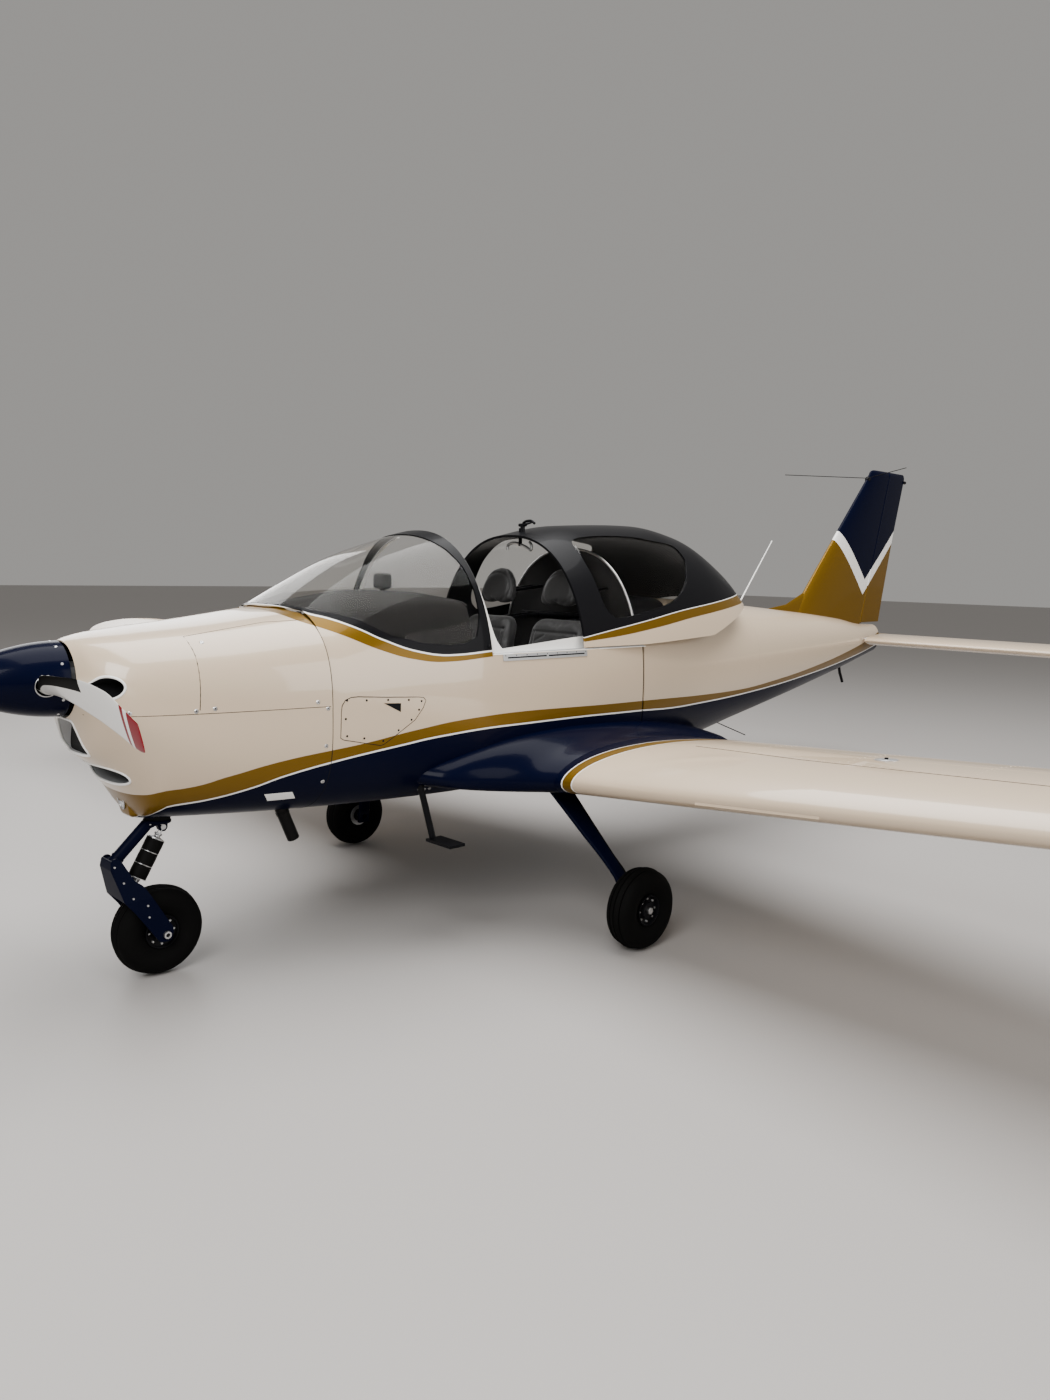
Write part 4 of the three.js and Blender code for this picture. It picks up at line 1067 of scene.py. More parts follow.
def ring_rows(stations, inset=0.0):
    """Whole rings of the body."""
    turns = circle(2 * sizes().ring_points)
    return [[body_point(station, turn, inset=inset) for turn in turns] for station in stations]


def sill_line(station):
    return straight(GLAZING_LINE, station) if station < ARCH else SILL_Z


def surface(station, side, z=None, y=None, out=0.0, glazed=False):
    """Place and facing on the body's side at a height, or on its top at a distance across."""
    if y is None:
        angle = angle_at(station, z, glazed)
    else:
        top_half, power = section(station, glazed)[3:5]
        angle = math.acos(min(1.0, y / top_half) ** (power / 2))
    here = body_point(station, angle, glazed)
    along = body_point(station + 4, angle, glazed) - here
    around = body_point(station, angle + 0.01, glazed) - here
    facing = along.cross(around).normalized()
    if facing.dot(here - at(station, 0, section(station)[1])) < 0:
        facing = -facing
    facing = to_side(facing, side)
    return to_side(here, side) + facing * out * MM, facing


def on_line(corners, step=30):
    """Corners of a line with even points between them."""
    points = [corners[0]]
    for (first, low), (last, high) in zip(corners, corners[1:]):
        count = max(1, math.ceil(math.hypot(last - first, high - low) / step))
        for i in range(1, count + 1):
            points.append((first + (last - first) * i / count, low + (high - low) * i / count))
    return points


def seam(name, corners, side, radius=1.7, coat="dark", glazed=False):
    """Thin line on the body's side through corners of station and height."""
    points = [
        surface(station, side, z, out=-0.5 * radius, glazed=glazed)[0] for station, z in on_line(corners)
    ]
    return tube(name, points, radius * MM, finish(coat), 6)


def patch(name, low, high, side, coat, thickness=1.5, step=12, glazed=False, skew=0.0):
    """Thin plate on the body's side between two corners of station and height."""
    rows = [
        [surface(station + (high[1] - z) * skew, side, z, out=thickness, glazed=glazed)[0]
         for z in spread(low[1], high[1], step)]
        for station in spread(low[0], high[0], step)
    ]
    return shell(name, rows, finish(coat), thickness * MM, inside=Vector((0, 0, 1)))


NOSE_STATIONS = spread(COWL_FRONT, 660, 10)
COWL_STATIONS = NOSE_STATIONS + spread(660, COWL_REAR + 7.5, 50)[1:]

# Openings of the cowling, seen from the front: distance to starboard and height
MOUTH = ((-60, 1026), (60, 1026), (84, 1000), (106, 935), (104, 908), (80, 898), (-80, 898), (-104, 908),
         (-106, 935), (-84, 1000))
SCOOP_Z = 820
SCOOP_HALF = (192, 38)
SIDE_INLET = (243, 1154)
SIDE_INLET_RADIUS = 40
SIDE_INLET_TIP = (186, 1164)


def oval_outline(half_y, half_z, y=0, z=0, power=2.4, count=48):
    return [
        (y + bulge(math.cos(angle), 2 / power) * half_y, z + bulge(math.sin(angle), 2 / power) * half_z)
        for angle in circle(count)
    ]


def teardrop(side):
    """Side inlet: round outboard, drawn to a point inboard."""
    centre_y, centre_z = SIDE_INLET
    points = []
    for i in range(33):
        angle = math.radians(-125 + 250 * i / 32)
        points.append((
            side * (centre_y + SIDE_INLET_RADIUS * math.cos(angle)),
            centre_z + SIDE_INLET_RADIUS * math.sin(angle),
        ))
    points.append((side * SIDE_INLET_TIP[0], SIDE_INLET_TIP[1]))
    return points


def mouth_outline():
    return [tuple(point) for point in closed_curve(MOUTH, 6)]


def grown(outline, margin):
    """An outline moved outwards from its middle."""
    middle = Vector((sum(p[0] for p in outline), sum(p[1] for p in outline))) / len(outline)
    moved = []
    for point in outline:
        ray = Vector(point) - middle
        moved.append(tuple(middle + ray * (1 + margin / ray.length)))
    return moved


def nose_station(y, z):
    """Station where the nose's skin reaches a point seen from the front."""
    low, high = COWL_FRONT, 760
    for _ in range(30):
        station = (low + high) / 2
        bottom, middle, top, half, upper, lower = section(station)
        power = upper if z > middle else lower
        rise = top - middle if z > middle else middle - bottom
        inside = (abs(y) / half) ** power + (abs(z - middle) / rise) ** power < 1
        low, high = (low, station) if inside else (station, high)
    return low


# Chin housing: height, front, half width there, side, half width
CHIN = (
    (637, 642, 34, 690, 80), (644, 631, 42, 690, 96), (650, 628, 46, 690, 105), (700, 617, 64, 685, 180),
    (752, 604, 84, 680, 190),
)
CHIN_REAR = 698
LAMP = (612, 703, 26, 35)
LAMP_LEAN = -0.24


def chin_housing():
    """Housing of the landing lamp under the scoop, with a soft narrow front."""
    rows = []
    for z in spread(637, 752, 6):
        front, half, side, wide = (smooth(CHIN, z, column) for column in (1, 2, 3, 4))
        flat = min(1.0, half / 60)
        corners = (
            (front, -half * 0.6), (front, half * 0.6), (front + 9 * flat, half * 1.02), (side, wide),
            (CHIN_REAR, wide - 6), (CHIN_REAR, -wide + 6), (side, -wide), (front + 9 * flat, -half * 1.02),
        )
        rows.append([at(point[0], point[1], z) for point in closed_curve(corners, 5)])
    return loft("chin_housing", rows, finish("body"), 35)


class TRAINER_OT_hull(Operator):
    """Skins of the nose, cabin sides, rear body and tail cone"""

    bl_idname = "trainer.hull"
    bl_label = "Body skins"

    def execute(self, context):
        paint = finish("body")
        split = lambda station: COWL_SPLIT
        wall = sizes().skin
        dark = finish("dark")
        upper = shell("cowling_top", over_rows(COWL_STATIONS, split), paint, wall, lining=dark)
        lower = shell("cowling_belly", under_rows(COWL_STATIONS, split), paint, wall, lining=dark)
        cut(upper, [prism("inlet_cutter", teardrop(side), 380, 620, dark, "X") for side in (-1, 1)])
        cut(lower, [
            prism("mouth_cutter", mouth_outline(), 380, 560, dark, "X"),
            prism("scoop_cutter", oval_outline(*SCOOP_HALF, z=SCOOP_Z), 440, 680, dark, "X"),
        ])
        lower = join("cowling_belly", [lower, chin_housing()])
        seat_on(upper, "airframe", "ivory_paint", "cowling_upper")
        seat_on(lower, "airframe", "ivory_paint", "cowling_lower")
        cabin = shell(
            "cabin_sides", under_rows(spread(CABIN_FRONT, BULKHEAD, 40), sill_line, True), paint,
            sizes().cabin_wall, lining=finish("lining"),
        )
        seat_on(cabin, "airframe", "ivory_paint", "cabin_shell")
        aft = shell(
            "rear_body", ring_rows(spread(AFT_FRONT, AFT_JOINT, 60)), paint, wall, closed=True, lining=dark
        )
        seat_on(aft, "airframe", "ivory_paint", "aft_fuselage")
        stations = spread(AFT_JOINT + 0.3, TAIL_END, 60)
        cone = shell("tail_body", ring_rows(stations), paint, wall, closed=True)
        seat_on(cone, "airframe", "ivory_paint", "tail_cone")
        return {"FINISHED"}


HATCH = ((1223, 1376), (1072, 1368), (761, 1322), (765, 1261), (762, 1176), (756, 1070))
ACCESS_PANEL = (
    (1345, 1088), (1450, 1081), (1606, 1073), (1628, 1070), (1638, 1058), (1626, 1030), (1588, 982),
    (1530, 944), (1454, 894), (1440, 890), (1286, 924), (1274, 932), (1276, 1030), (1280, 1058), (1294, 1078),
    (1318, 1087), (1345, 1088),
)
CORNER_INLET = ((1452, 1057), (1525, 1053), (1524, 1018))
QUARTER_TURNS = (
    (537, 1067), (744, 1067), (807, 1073), (1185, 1076), (1224, 1050), (1218, 906), (1225, 761), (807, 1303),
)
PANEL_SCREWS = (
    (1300, 1076), (1380, 1072), (1470, 1069), (1560, 1064), (1618, 1056), (1606, 1022), (1572, 984),
    (1515, 946), (1450, 908), (1370, 924), (1300, 938), (1294, 1005),
)
BLANK_PLATE = ((1014, 696), (1118, 728))
SPLIT_RADIUS = 1.5
COWL_JOINT = 1242.9
INLET_DEPTH = 0.004
WEDGE_FACES = [(0, 1, 2), (3, 5, 4), (0, 3, 4, 1), (1, 4, 5, 2), (2, 5, 3, 0)]


class TRAINER_OT_cowling(Operator):
    """Lips and ducts of the cowling's openings, panel lines, latches, lamp and plates"""

    bl_idname = "trainer.cowling"
    bl_label = "Cowling details"

    def execute(self, context):
        self.openings()
        self.lines()
        ring = [
            at(LAMP[0] + math.sin(angle) * LAMP[3] * LAMP_LEAN, math.cos(angle) * LAMP[2],
               LAMP[1] + math.sin(angle) * LAMP[3])
            for angle in circle(40)
        ]
        dress("landing_lamp", finish("lens"))
        seat_on(tube("lamp_ring", ring, 0.0028, finish("satin"), 8, closed=True), "airframe", "rail_metal")
        plate = patch("blank_plate", *BLANK_PLATE, -1, "white", 1.2, 8, False, 0.8)
        seat_on(plate, "airframe", "ivory_paint")
        dress("firewall", finish("dark"))
        dress("engine", finish("cast"))
        return {"FINISHED"}

    def openings(self):
        outlines = [mouth_outline(), oval_outline(*SCOOP_HALF, z=SCOOP_Z), teardrop(-1), teardrop(1)]
        depths = (478, 690, 596, 596)
        # The side inlets' duct walls take the matt black finish as painted shade of their deep interiors; the
        # scoop's walls carry its painted shadow.
        coats = [finish(coat) for coat in ("duct", "scoop", "dark", "dark")]
        lips = []
        for outline in outlines:
            edge = []
            for i, (y, z) in enumerate(outline):
                if (Vector(outline[i]) - Vector(outline[i - 1])).length > 1:
                    edge.append(at(nose_station(y, z) + 1, y, z))
            lips.append(tube("lip", edge, 0.0048, finish("white"), 8, closed=True))
        seat_on(join("opening_lips", lips), "airframe", "ivory_paint")
        walls = join("duct_walls", [
            prism("wall", grown(outline, 3), 405, depth, coat, "X")
            for outline, depth, coat in zip(outlines, depths, coats)
        ])
        space = join("duct_space", [
            prism("space", outline, 390, depth + 20, coat, "X")
            for outline, depth, coat in zip(outlines, depths, coats)
        ])
        body = loft("nose_body", ring_rows(spread(COWL_FRONT + 2, 720, 10), 3), coats[0])
        cut(walls, [space])
        cut(walls, [body], "INTERSECT")
        seat_on(walls, "airframe", "ivory_paint")
        core = prism("radiator_core", grown(outlines[0], 8), 480, 498, finish("radiator"), "X")
        # Matt black plate closing the scoop's duct: a painted shadow standing for the duct's deep interior.
        back = prism("scoop_shade_back", grown(outlines[1], 6), 692, 696, finish("dark"), "X")
        seat_on(join("radiator_block", [core, back]), "airframe", "rail_metal")

    def lines(self):
        lines = []
        spots = []
        screws = []
        for side in (-1, 1):
            lines.append(seam("line", ((430, COWL_SPLIT), (COWL_REAR, COWL_SPLIT)), side, SPLIT_RADIUS))
            lines += [seam("line", corners, side) for corners in (HATCH, ACCESS_PANEL)]
            # Dark wedge set into the small corner inlet: painted shade standing for the inlet's opening.
            corners = [surface(station, side, z, out=0.6)[0] for station, z in CORNER_INLET]
            sunk = [corner - Vector((0, side * INLET_DEPTH, 0)) for corner in corners]
            lines.append(piece("inlet", corners + sunk, WEDGE_FACES, finish("dark")))
            spots += [surface(station, side, z) for station, z in QUARTER_TURNS]
            screws += [surface(station, side, z) for station, z in PANEL_SCREWS]
        ring = [body_point(COWL_JOINT, turn, inset=0.7) for turn in circle(160)]
        lines.append(tube("line", ring, 0.0016, finish("dark"), 6, closed=True))
        seat_on(join("body_lines", lines), "airframe", "black_trim")
        latches = studs("latches", spots, 0.0082, 0.0016, 18, finish("steel"))
        # Dark dots on the latch heads: painted shade standing for the recess of each latch's slot.
        slots = studs("slots", spots, 0.0030, 0.0022, 8, finish("dark"))
        heads = studs("heads", screws, sizes().screw * 0.75, 0.0012, 12, finish("dark"))
        seat_on(join("cowl_latches", [latches, slots, heads]), "airframe", "rail_metal")


PANE_OPENING = (
    (1221, 1429), (1261, 1417), (1394, 1384), (1513, 1319), (1636, 1289), (1778, 1273), (1850, 1280),
    (1910, 1305), (1944, 1389), (1955, 1488), (1950, 1591), (1930, 1667), (1890, 1740),
)
CANOPY_OPENING = (
    (2746, 1734), (2712, 1660), (2715, 1560), (2728, 1433), (2773, 1378), (2834, 1366), (3042, 1396),
    (3265, 1444), (3400, 1520), (3470, 1600), (3510, 1660), (3480, 1728), (3331, 1750), (3183, 1765),
    (2950, 1762),
)
ROOF_HALF = 228


class TRAINER_OT_glazing(Operator):
    """Windscreen and sliding canopy with their frames and clear panes"""

    bl_idname = "trainer.glazing"
    bl_label = "Windscreen and canopy"

    def execute(self, context):
        self.windscreen()
        self.canopy()
        return {"FINISHED"}

    def windscreen(self):
        foot = lambda station: straight(GLAZING_LINE, station)
        stations = spread(1206, ARCH, 12)
        rows = over_rows(stations, foot, True)
        band = shell("windscreen_border", rows, finish("body"), 0.009, lining=finish("black"))
        edge = [*PANE_OPENING, (1880, 2100), (1150, 2100), (1150, 1450)]
        cut(band, [prism("pane_cutter", edge, -900, 900, finish("black"))])
        seat_on(band, "airframe", "black_trim", "windscreen_frame")
        pane = shell(
            "windscreen_pane", over_rows(spread(1212, ARCH - 12, 12), lambda s: foot(s) + 8, True, 2.5),
            finish("pane"), sizes().pane,
        )
        seat_on(pane, "airframe", "clear_pane", "windscreen_glass")

    def canopy(self):
        shift = Vector((CANOPY_OPEN * MM, 0, 0))
        foot = lambda station: straight(SKIRT_LINE, station)
        stations = spread(CANOPY_FRONT, CANOPY_REAR, 20)
        rows = [[point + shift for point in row] for row in over_rows(stations, foot, True)]
        hood = shell("canopy_hood", rows, finish("canopy"), 0.012, lining=finish("black"))
        outline = [tuple(p) for p in closed_curve(CANOPY_OPENING, 6)]
        black = finish("black")
        cut(hood, [
            prism("window_cutter", outline, -900, -ROOF_HALF, black),
            prism("window_cutter", outline, ROOF_HALF, 900, black),
        ])
        seat_on(hood, "canopy", "black_trim", "canopy_frame")
        for side, name in SIDES:
            rows = []
            for station in spread(2090, 2990, 20):
                low = angle_at(station, 1330, True)
                turns = [low + (1.38 - low) * i / 32 for i in range(33)]
                ring = [body_point(station, turn, True, 4) + shift for turn in turns]
                rows.append([to_side(point, side) for point in ring])
            pane = shell(
                "canopy_pane_" + name, rows, finish("pane"), sizes().pane, inside=Vector((0, 0, 1.1))
            )
            seat_on(pane, "canopy", "clear_pane", "canopy_window_" + name)


COAMING = ((1996, 1240), (2040, 1242), (2272, 1260), (2525, 1281), (2986, 1304))
LATCH_INSIDE = ((2640, 96, 1684), (2640, 90, 1708), (2640, 40, 1718), (2640, -30, 1700), (2640, -72, 1682),
                (2640, -76, 1706), (2640, -62, 1722))
LATCH_OUTSIDE = ((2652, 0, 1800), (2652, -4, 1816), (2650, -24, 1824), (2647, -64, 1825), (2645, -90, 1812))
SHOULDER = ((1262, 1396), (1400, 1408), (1550, 1425), (1750, 1446), (1900, 1438))
CROWN = ((1262, 1400), (1400, 1432), (1550, 1459), (1750, 1484), (1860, 1480), (1900, 1466))
PANEL_FACE = 1880
SCREEN_Y = 245

# Screens of the panel: name, depth from and to, half width, bottom, top, finish, edge radius
SCREEN_BOXES = (
    ("bezel", -2, 10, 118, 1118, 1296, "plastic", 4), ("screen", 8, 11, 104, 1132, 1282, "screen", 1),
)

# Round instruments: distance to starboard, height, radius
GAUGES = (
    (-60, 1255, 39), (60, 1255, 39), (-60, 1160, 39), (60, 1160, 39), (-60, 1072, 28), (0, 1072, 28),
    (60, 1072, 28),
)
BACK_FOOT = (2562, 856)
BACK_HEAD = (2698, 1364)
SEAT_Y = 255
HEADREST_Y = 225


def pad(name, outline, low, high, axis):
    """Soft pad made from an outline, swollen like filled leather and finished smooth."""
    obj = prism(name, outline, low, high, finish("leather"), axis)
    edges = obj.modifiers.new("edges", "BEVEL")
    edges.width = 0.024
    edges.segments = 4
    plain_mesh(obj)
    voxels = obj.modifiers.new("voxels", "REMESH")
    voxels.mode = "VOXEL"
    voxels.voxel_size = 0.0065
    plain_mesh(obj)
    swell(obj, 0.012)
    soften = obj.modifiers.new("soften", "SMOOTH")
    soften.factor = 0.5
    soften.iterations = 6
    return plain_mesh(obj, 180)


def swell(obj, cap):
    """Blow a pad up as cloth, with no point moving further than cap."""
    scene = bpy.context.scene
    before = [vert.co.copy() for vert in obj.data.vertices]
    cloth = obj.modifiers.new("swell", "CLOTH")
    cloth.settings.use_pressure = True
    cloth.settings.uniform_pressure_force = 4
    cloth.settings.effector_weights.gravity = 0
    cloth.settings.quality = 4
    cloth.point_cache.frame_start = 1
    cloth.point_cache.frame_end = 20
    for step in range(1, 21):
        scene.frame_set(step)
    plain_mesh(obj, 180)
    scene.frame_set(1)
    for vert, old in zip(obj.data.vertices, before):
        move = vert.co - old
        if move.length > cap:
            vert.co = old + move.normalized() * cap


def press(obj, depth_at):
    """Move each point of a pad inwards by a depth in metres that depends on its place."""
    moves = [-vert.normal * depth_at(vert.co, vert.normal) for vert in obj.data.vertices]
    for vert, move in zip(obj.data.vertices, moves):
        vert.co += move


def groove(distance, width=0.006, depth=0.006):
    return depth * math.exp(-((distance / width) ** 2))


def mirrored(obj, name):
    """Copy of an object on the other side."""
    mesh = obj.data.copy()
    mesh.transform(Matrix.Scale(-1, 4, ACROSS))
    mesh.flip_normals()
    return linked(name, mesh)


class TRAINER_OT_seats(Operator):
    """Leather cushions, backs and headrests"""

    bl_idname = "trainer.seats"
    bl_label = "Seats"

    def execute(self, context):
        makers = (("seat_pad", self.cushion, "seat_cushion"), ("seat_rest", self.back, "seat_back"),
                  ("head_pad", self.headrest, None))
        for name, make, node in makers:
            port = make(name + "_port")
            smooth_skin = port.modifiers.new("smooth", "SUBSURF")
            smooth_skin.levels = smooth_skin.render_levels = 1
            plain_mesh(port, 180)
            starboard = mirrored(port, name + "_starboard")
            for obj, side in ((port, "port"), (starboard, "starboard")):
                seat_on(obj, "airframe", "seat_leather")
                if node:
                    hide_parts(node + "_" + side)
        dress("seat_carrier", finish("plastic"))
        return {"FINISHED"}

    def cushion(self, name):
        outline = eased((
            (2177, -SEAT_Y - 213), (2177, -SEAT_Y + 213), (2500, -SEAT_Y + 205), (2500, -SEAT_Y - 205),
        ), 60, 8)
        obj = pad(name, outline, 860, 950, "Z")

        def depth(place, facing):
            if facing.z < 0.3:
                return 0.0
            station = (place.x - NOSE) / MM
            across = abs(place.y / MM + SEAT_Y)
            fall = groove(abs(across - 142) * MM) + groove(abs(station - 2245) * MM) * (across < 142)
            if across < 120 and station > 2255:
                fall += groove(((station - 2255) % 62 - 31) * MM, 0.005, 0.004)
            return fall

        press(obj, depth)
        return obj

    def back(self, name):
        width = 205
        outline = eased((
            (-SEAT_Y - width, 862), (-SEAT_Y + width, 862), (-SEAT_Y + width, 1120),
            (-SEAT_Y + width - 28, 1358), (-SEAT_Y - width + 28, 1358), (-SEAT_Y - width, 1120),
        ), 70, 8)
        obj = pad(name, outline, BACK_FOOT[0] - 36, BACK_FOOT[0] + 34, "X")

        def depth(place, facing):
            if facing.x > -0.3:
                return 0.0
            z = place.z / MM
            across = abs(place.y / MM + SEAT_Y)
            edge = 132 + max(0, z - 1150) * 0.06
            fall = groove(abs(across - edge) * MM) * (z < 1290) + groove(abs(z - 1285) * MM) * (across < 150)
            if across < edge - 16 and z < 1270:
                diagonal = (z + across * 0.55) % 58 - 29
                fall += groove(diagonal * MM, 0.006, 0.005)
            return fall

        press(obj, depth)
        for vert in obj.data.vertices:
            share = (vert.co.z / MM - BACK_FOOT[1]) / (BACK_HEAD[1] - BACK_FOOT[1])
            vert.co.x += (BACK_HEAD[0] - BACK_FOOT[0]) * share * MM
        return obj

    def headrest(self, name):
        outline = [tuple(point) for point in closed_curve([
            (-HEADREST_Y + y, z) for y, z in (
                (-118, 1462), (-108, 1426), (-66, 1412), (0, 1410), (66, 1412), (108, 1426), (118, 1462),
                (103, 1528), (60, 1578), (0, 1594), (-60, 1578), (-103, 1528),
            )
        ], 8)]
        obj = pad(name, outline, 2680, 2738, "X")

        def depth(place, facing):
            around = math.hypot((place.y / MM + HEADREST_Y) / 112, (place.z / MM - 1490) / 92)
            return groove((around - 0.86) * 0.1, 0.005, 0.003) if facing.x < -0.3 else 0.0

        press(obj, depth)
        for vert in obj.data.vertices:
            vert.co.x += (vert.co.z - 1.5) * 0.2
        return obj


class TRAINER_OT_cabin(Operator):
    """Panel, glareshield, console, sticks, bulkhead and rails"""

    bl_idname = "trainer.cabin"
    bl_label = "Cabin"

    def execute(self, context):
        self.glareshield()
        self.panel()
        self.console()
        self.sticks()
        self.bulkhead()
        self.arch()
        self.sill()
        inside = tube("latch_inside", curved([at(*p) for p in LATCH_INSIDE]), 0.007, finish("satin"), 12)
        outside = tube("latch_outside", curved([at(*p) for p in LATCH_OUTSIDE]), 0.0065, finish("black"), 12)
        stem = rod("latch_stem", (2640, 4, 1702), (2640, 4, 1790), 9, "black", 16)
        seat_on(join("canopy_latch", [inside, outside, stem]), "canopy", "trim_plastic")
        dress("canopy_handle", finish("black"))
        dress("cabin_floor", finish("lining"))
        dress("rudder_pedals", finish("satin"))
        return {"FINISHED"}

    def glareshield(self):
        rows = []
        for station in spread(1262, 1900, 22):
            shoulder = min(smooth(SHOULDER, station), section(station, True)[2] - 14)
            crown = smooth(CROWN, station)
            low = angle_at(station, sill_line(station) + 6, True)
            high = angle_at(station, shoulder, True)
            half = [body_point(station, low + (high - low) * i / 8, True, 15) for i in range(9)]
            width = half[-1].y / MM
            top = []
            for i in range(1, 32):
                share = 1 - i / 16
                rise = (crown - shoulder) * (1 - abs(share) ** 2.4)
                dip = 5 * math.exp(-((share / 0.12) ** 2))
                top.append(at(station, width * share, shoulder + rise - dip))
            other = [to_side(point, -1) for point in reversed(half)]
            rows.append([*half, *top, *other])
        cover = shell("cover", rows, finish("lining"), 0.006, 50, inside=Vector((0, 0, 1.2)))
        edge = [row + Vector((0.002, 0, -0.004)) for row in rows[-1][8:-8]]
        roll = tube("roll", edge, 0.0085, finish("plastic"), 12)
        seat_on(join("glareshield_cover", [cover, roll]), "airframe", "trim_plastic", "glareshield")
        parts = [
            rounded_box("head", (1772, -44, 1488), (1826, 44, 1557), finish("plastic"), 18, 4),
            rod("stalk", (1800, 0, 1470), (1800, 0, 1518), 13, "plastic", 20),
            turned("foot", [(0, 0), (0, 30), (5, 26), (8, 14), (8, 0)], at(1800, 0, 1472), UP,
                   finish("plastic"), 24),
            turned("glass", [(0, 0), (0, 17), (2, 17), (3, 0)], at(1826, 0, 1534), AFT, finish("screen"), 24),
        ]
        seat_on(join("compass", parts), "airframe", "trim_plastic")

    def panel(self):
        half = []
        for z in spread(952, 1338, 24):
            side = body_point(1866, angle_at(1866, z, True), True, 26)
            half.append((side.y / MM, z))
        outline = [*half, *[(-y, z) for y, z in reversed(half)]]
        board = prism("board", outline, 1851, PANEL_FACE, finish("plastic"), "X")
        parts = [board]
        for y in (-SCREEN_Y, SCREEN_Y):
            for name, low, high, half_y, bottom, top, coat, radius in SCREEN_BOXES:
                low_corner = (PANEL_FACE + low, y - half_y, bottom)
                high_corner = (PANEL_FACE + high, y + half_y, top)
                parts.append(rounded_box(name, low_corner, high_corner, finish(coat), radius))
        for gauge in GAUGES:
            parts += self.gauge(*gauge)
        switches = [(at(PANEL_FACE, y, 1002), Vector(AFT)) for y in range(-380, 381, 40)]
        parts.append(studs("switches", switches, 0.007, 0.012, 12, finish("satin")))
        seat_on(join("panel_board", parts), "airframe", "trim_plastic", "instrument_panel")

    def gauge(self, y, z, radius):
        """Round instrument with a rim, a face, eleven marks and a needle."""
        centre = at(PANEL_FACE, y, z)
        glass, reach = radius - 5, radius - 12
        rim = [(0, glass), (0, radius), (6, radius), (8, radius - 2), (8, glass), (0, glass)]
        marks = []
        for i in range(11):
            angle = math.radians(-130 + 26 * i)
            spoke = Vector((0, math.sin(angle), math.cos(angle)))
            marks.append((centre + spoke * (radius - 11) * MM + Vector((0.003, 0, 0)), Vector(AFT)))
        needle = [(y - 1.4, z), (y + 1.4, z), (y + 0.4, z + reach), (y - 0.4, z + reach)]
        return [
            turned("rim", rim, centre, AFT, finish("satin"), 40),
            turned("face", disc(0, 3, glass), centre, AFT, finish("screen"), 40),
            studs("marks", marks, 0.0018, 0.0006, 6, finish("white")),
            prism("needle", needle, PANEL_FACE + 3, PANEL_FACE + 3.8, finish("white"), "X"),
        ]

    def console(self):
        outline = eased(((1652, 651), (2094, 651), (2094, 800), (2040, 886), (1760, 898), (1652, 898)), 26)
        parts = [prism("box", outline, -88, 88, finish("plastic"))]
        parts.append(rounded_box("plate", (1800, -66, 893), (2020, 66, 901), finish("black"), 3))
        for station, y, coat in ((1880, -32, "black"), (1880, 0, "satin"), (1880, 32, "red")):
            foot, head = (station, y, 898), (station + 26, y, 956)
            parts.append(rod("lever", foot, head, 3.5, "steel", 12))
            parts.append(turned("knob", [(-9, 0), (-8, 8), (0, 12), (8, 8), (9, 0)], at(*head), (0.4, 0, 0.9),
                                finish(coat), 20))
        seat_on(join("console_block", parts), "airframe", "trim_plastic", "centre_console")

    def sticks(self):
        parts = [rod("link", (2120, -SEAT_Y - 19, 665.7), (2120, SEAT_Y + 19, 665.7), 14.5, "satin")]
        for side in (-1, 1):
            y = side * SEAT_Y
            line = [at(2120, y, 666), at(2116, y, 760), at(2106, y, 860), at(2099, y, 950)]
            parts.append(tube("stick", curved(line), 0.011, finish("black"), 20))
            foot, head = at(2100, y, 940), at(2088, y, 1060)
            length = (head - foot).length / MM
            grip = [
                (0, 0), (0, 15), (8, 18), (30, 19.5), (52, 17.5), (80, 19), (104, 18), (length - 3, 12),
                (length, 0),
            ]
            parts.append(turned("grip", grip, foot, head - foot, finish("rubber"), 28))
            parts.append(turned("boot", [(0, 0), (0, 46), (10, 40), (26, 28), (44, 15), (44, 0)],
                                at(2119, y, 651), UP, finish("leather"), 28))
        seat_on(join("control_grips", parts), "airframe", "trim_plastic", "control_sticks")

    def bulkhead(self):
        outline = []
        for turn in circle(96):
            point = body_point(BULKHEAD, turn, True)
            y, z = point.y / MM, point.z / MM
            above = z > SILL_Z
            outline.append((y * (0.93 if above else 0.985), SILL_Z + (z - SILL_Z) * 0.8 if above else z))
        board = prism("board", outline, 2990.4, 3004.2, finish("lining"), "X")
        arc = [at(2991, y, z) for y, z in outline if z > SILL_Z + 8]
        first = max(range(len(arc)), key=lambda i: (arc[i] - arc[i - 1]).length)
        bead = tube("bead", arc[first:] + arc[:first], 0.006, finish("satin"), 10)
        bar_line = [at(2975, y, 1352) for y in (-330, -110, 110, 330)]
        bar = tube("bar", bar_line, 0.014, finish("black"), 20)
        parts = [board, bead, bar]
        for side in (-1, 1):
            for y in (side * 275, side * 195):
                parts.append(rod("post", (2722, y, 1470), (2985, y, 1500), 8, "black", 16))
                parts.append(rod("stay", (2728, y, 1330), (2978, y, 1352), 8, "black", 16))
        seat_on(join("bulkhead_board", parts), "airframe", "trim_plastic", "rear_bulkhead")

    def arch(self):
        """White flange behind the windscreen's bow, widest at the sill, with its screw."""
        parts = []
        for side in (-1, 1):
            rows = []
            low, high = angle_at(ARCH, SILL_Z + 4, True), math.radians(78)
            for i in range(33):
                share = i / 32
                angle = low + (high - low) * share
                width = 12 + 30 * (1 - share) ** 4 + 50 * (1 - share) ** 22
                rows.append([
                    to_side(body_point(ARCH + reach, angle, True, 16), side)
                    for reach in (-6, width * 0.5, width)
                ])
            parts.append(shell("flange", rows, finish("white"), 0.004, inside=Vector((0, 0, 1.3))))
            place = at(1966, side * 536, 1262)
            head = [(0, 0), (0, 9), (3, 7), (3, 0)]
            parts.append(turned("screw", head, place, (0, side, 0.1), finish("black"), 20))
        seat_on(join("arch_flange", parts), "airframe", "ivory_paint")

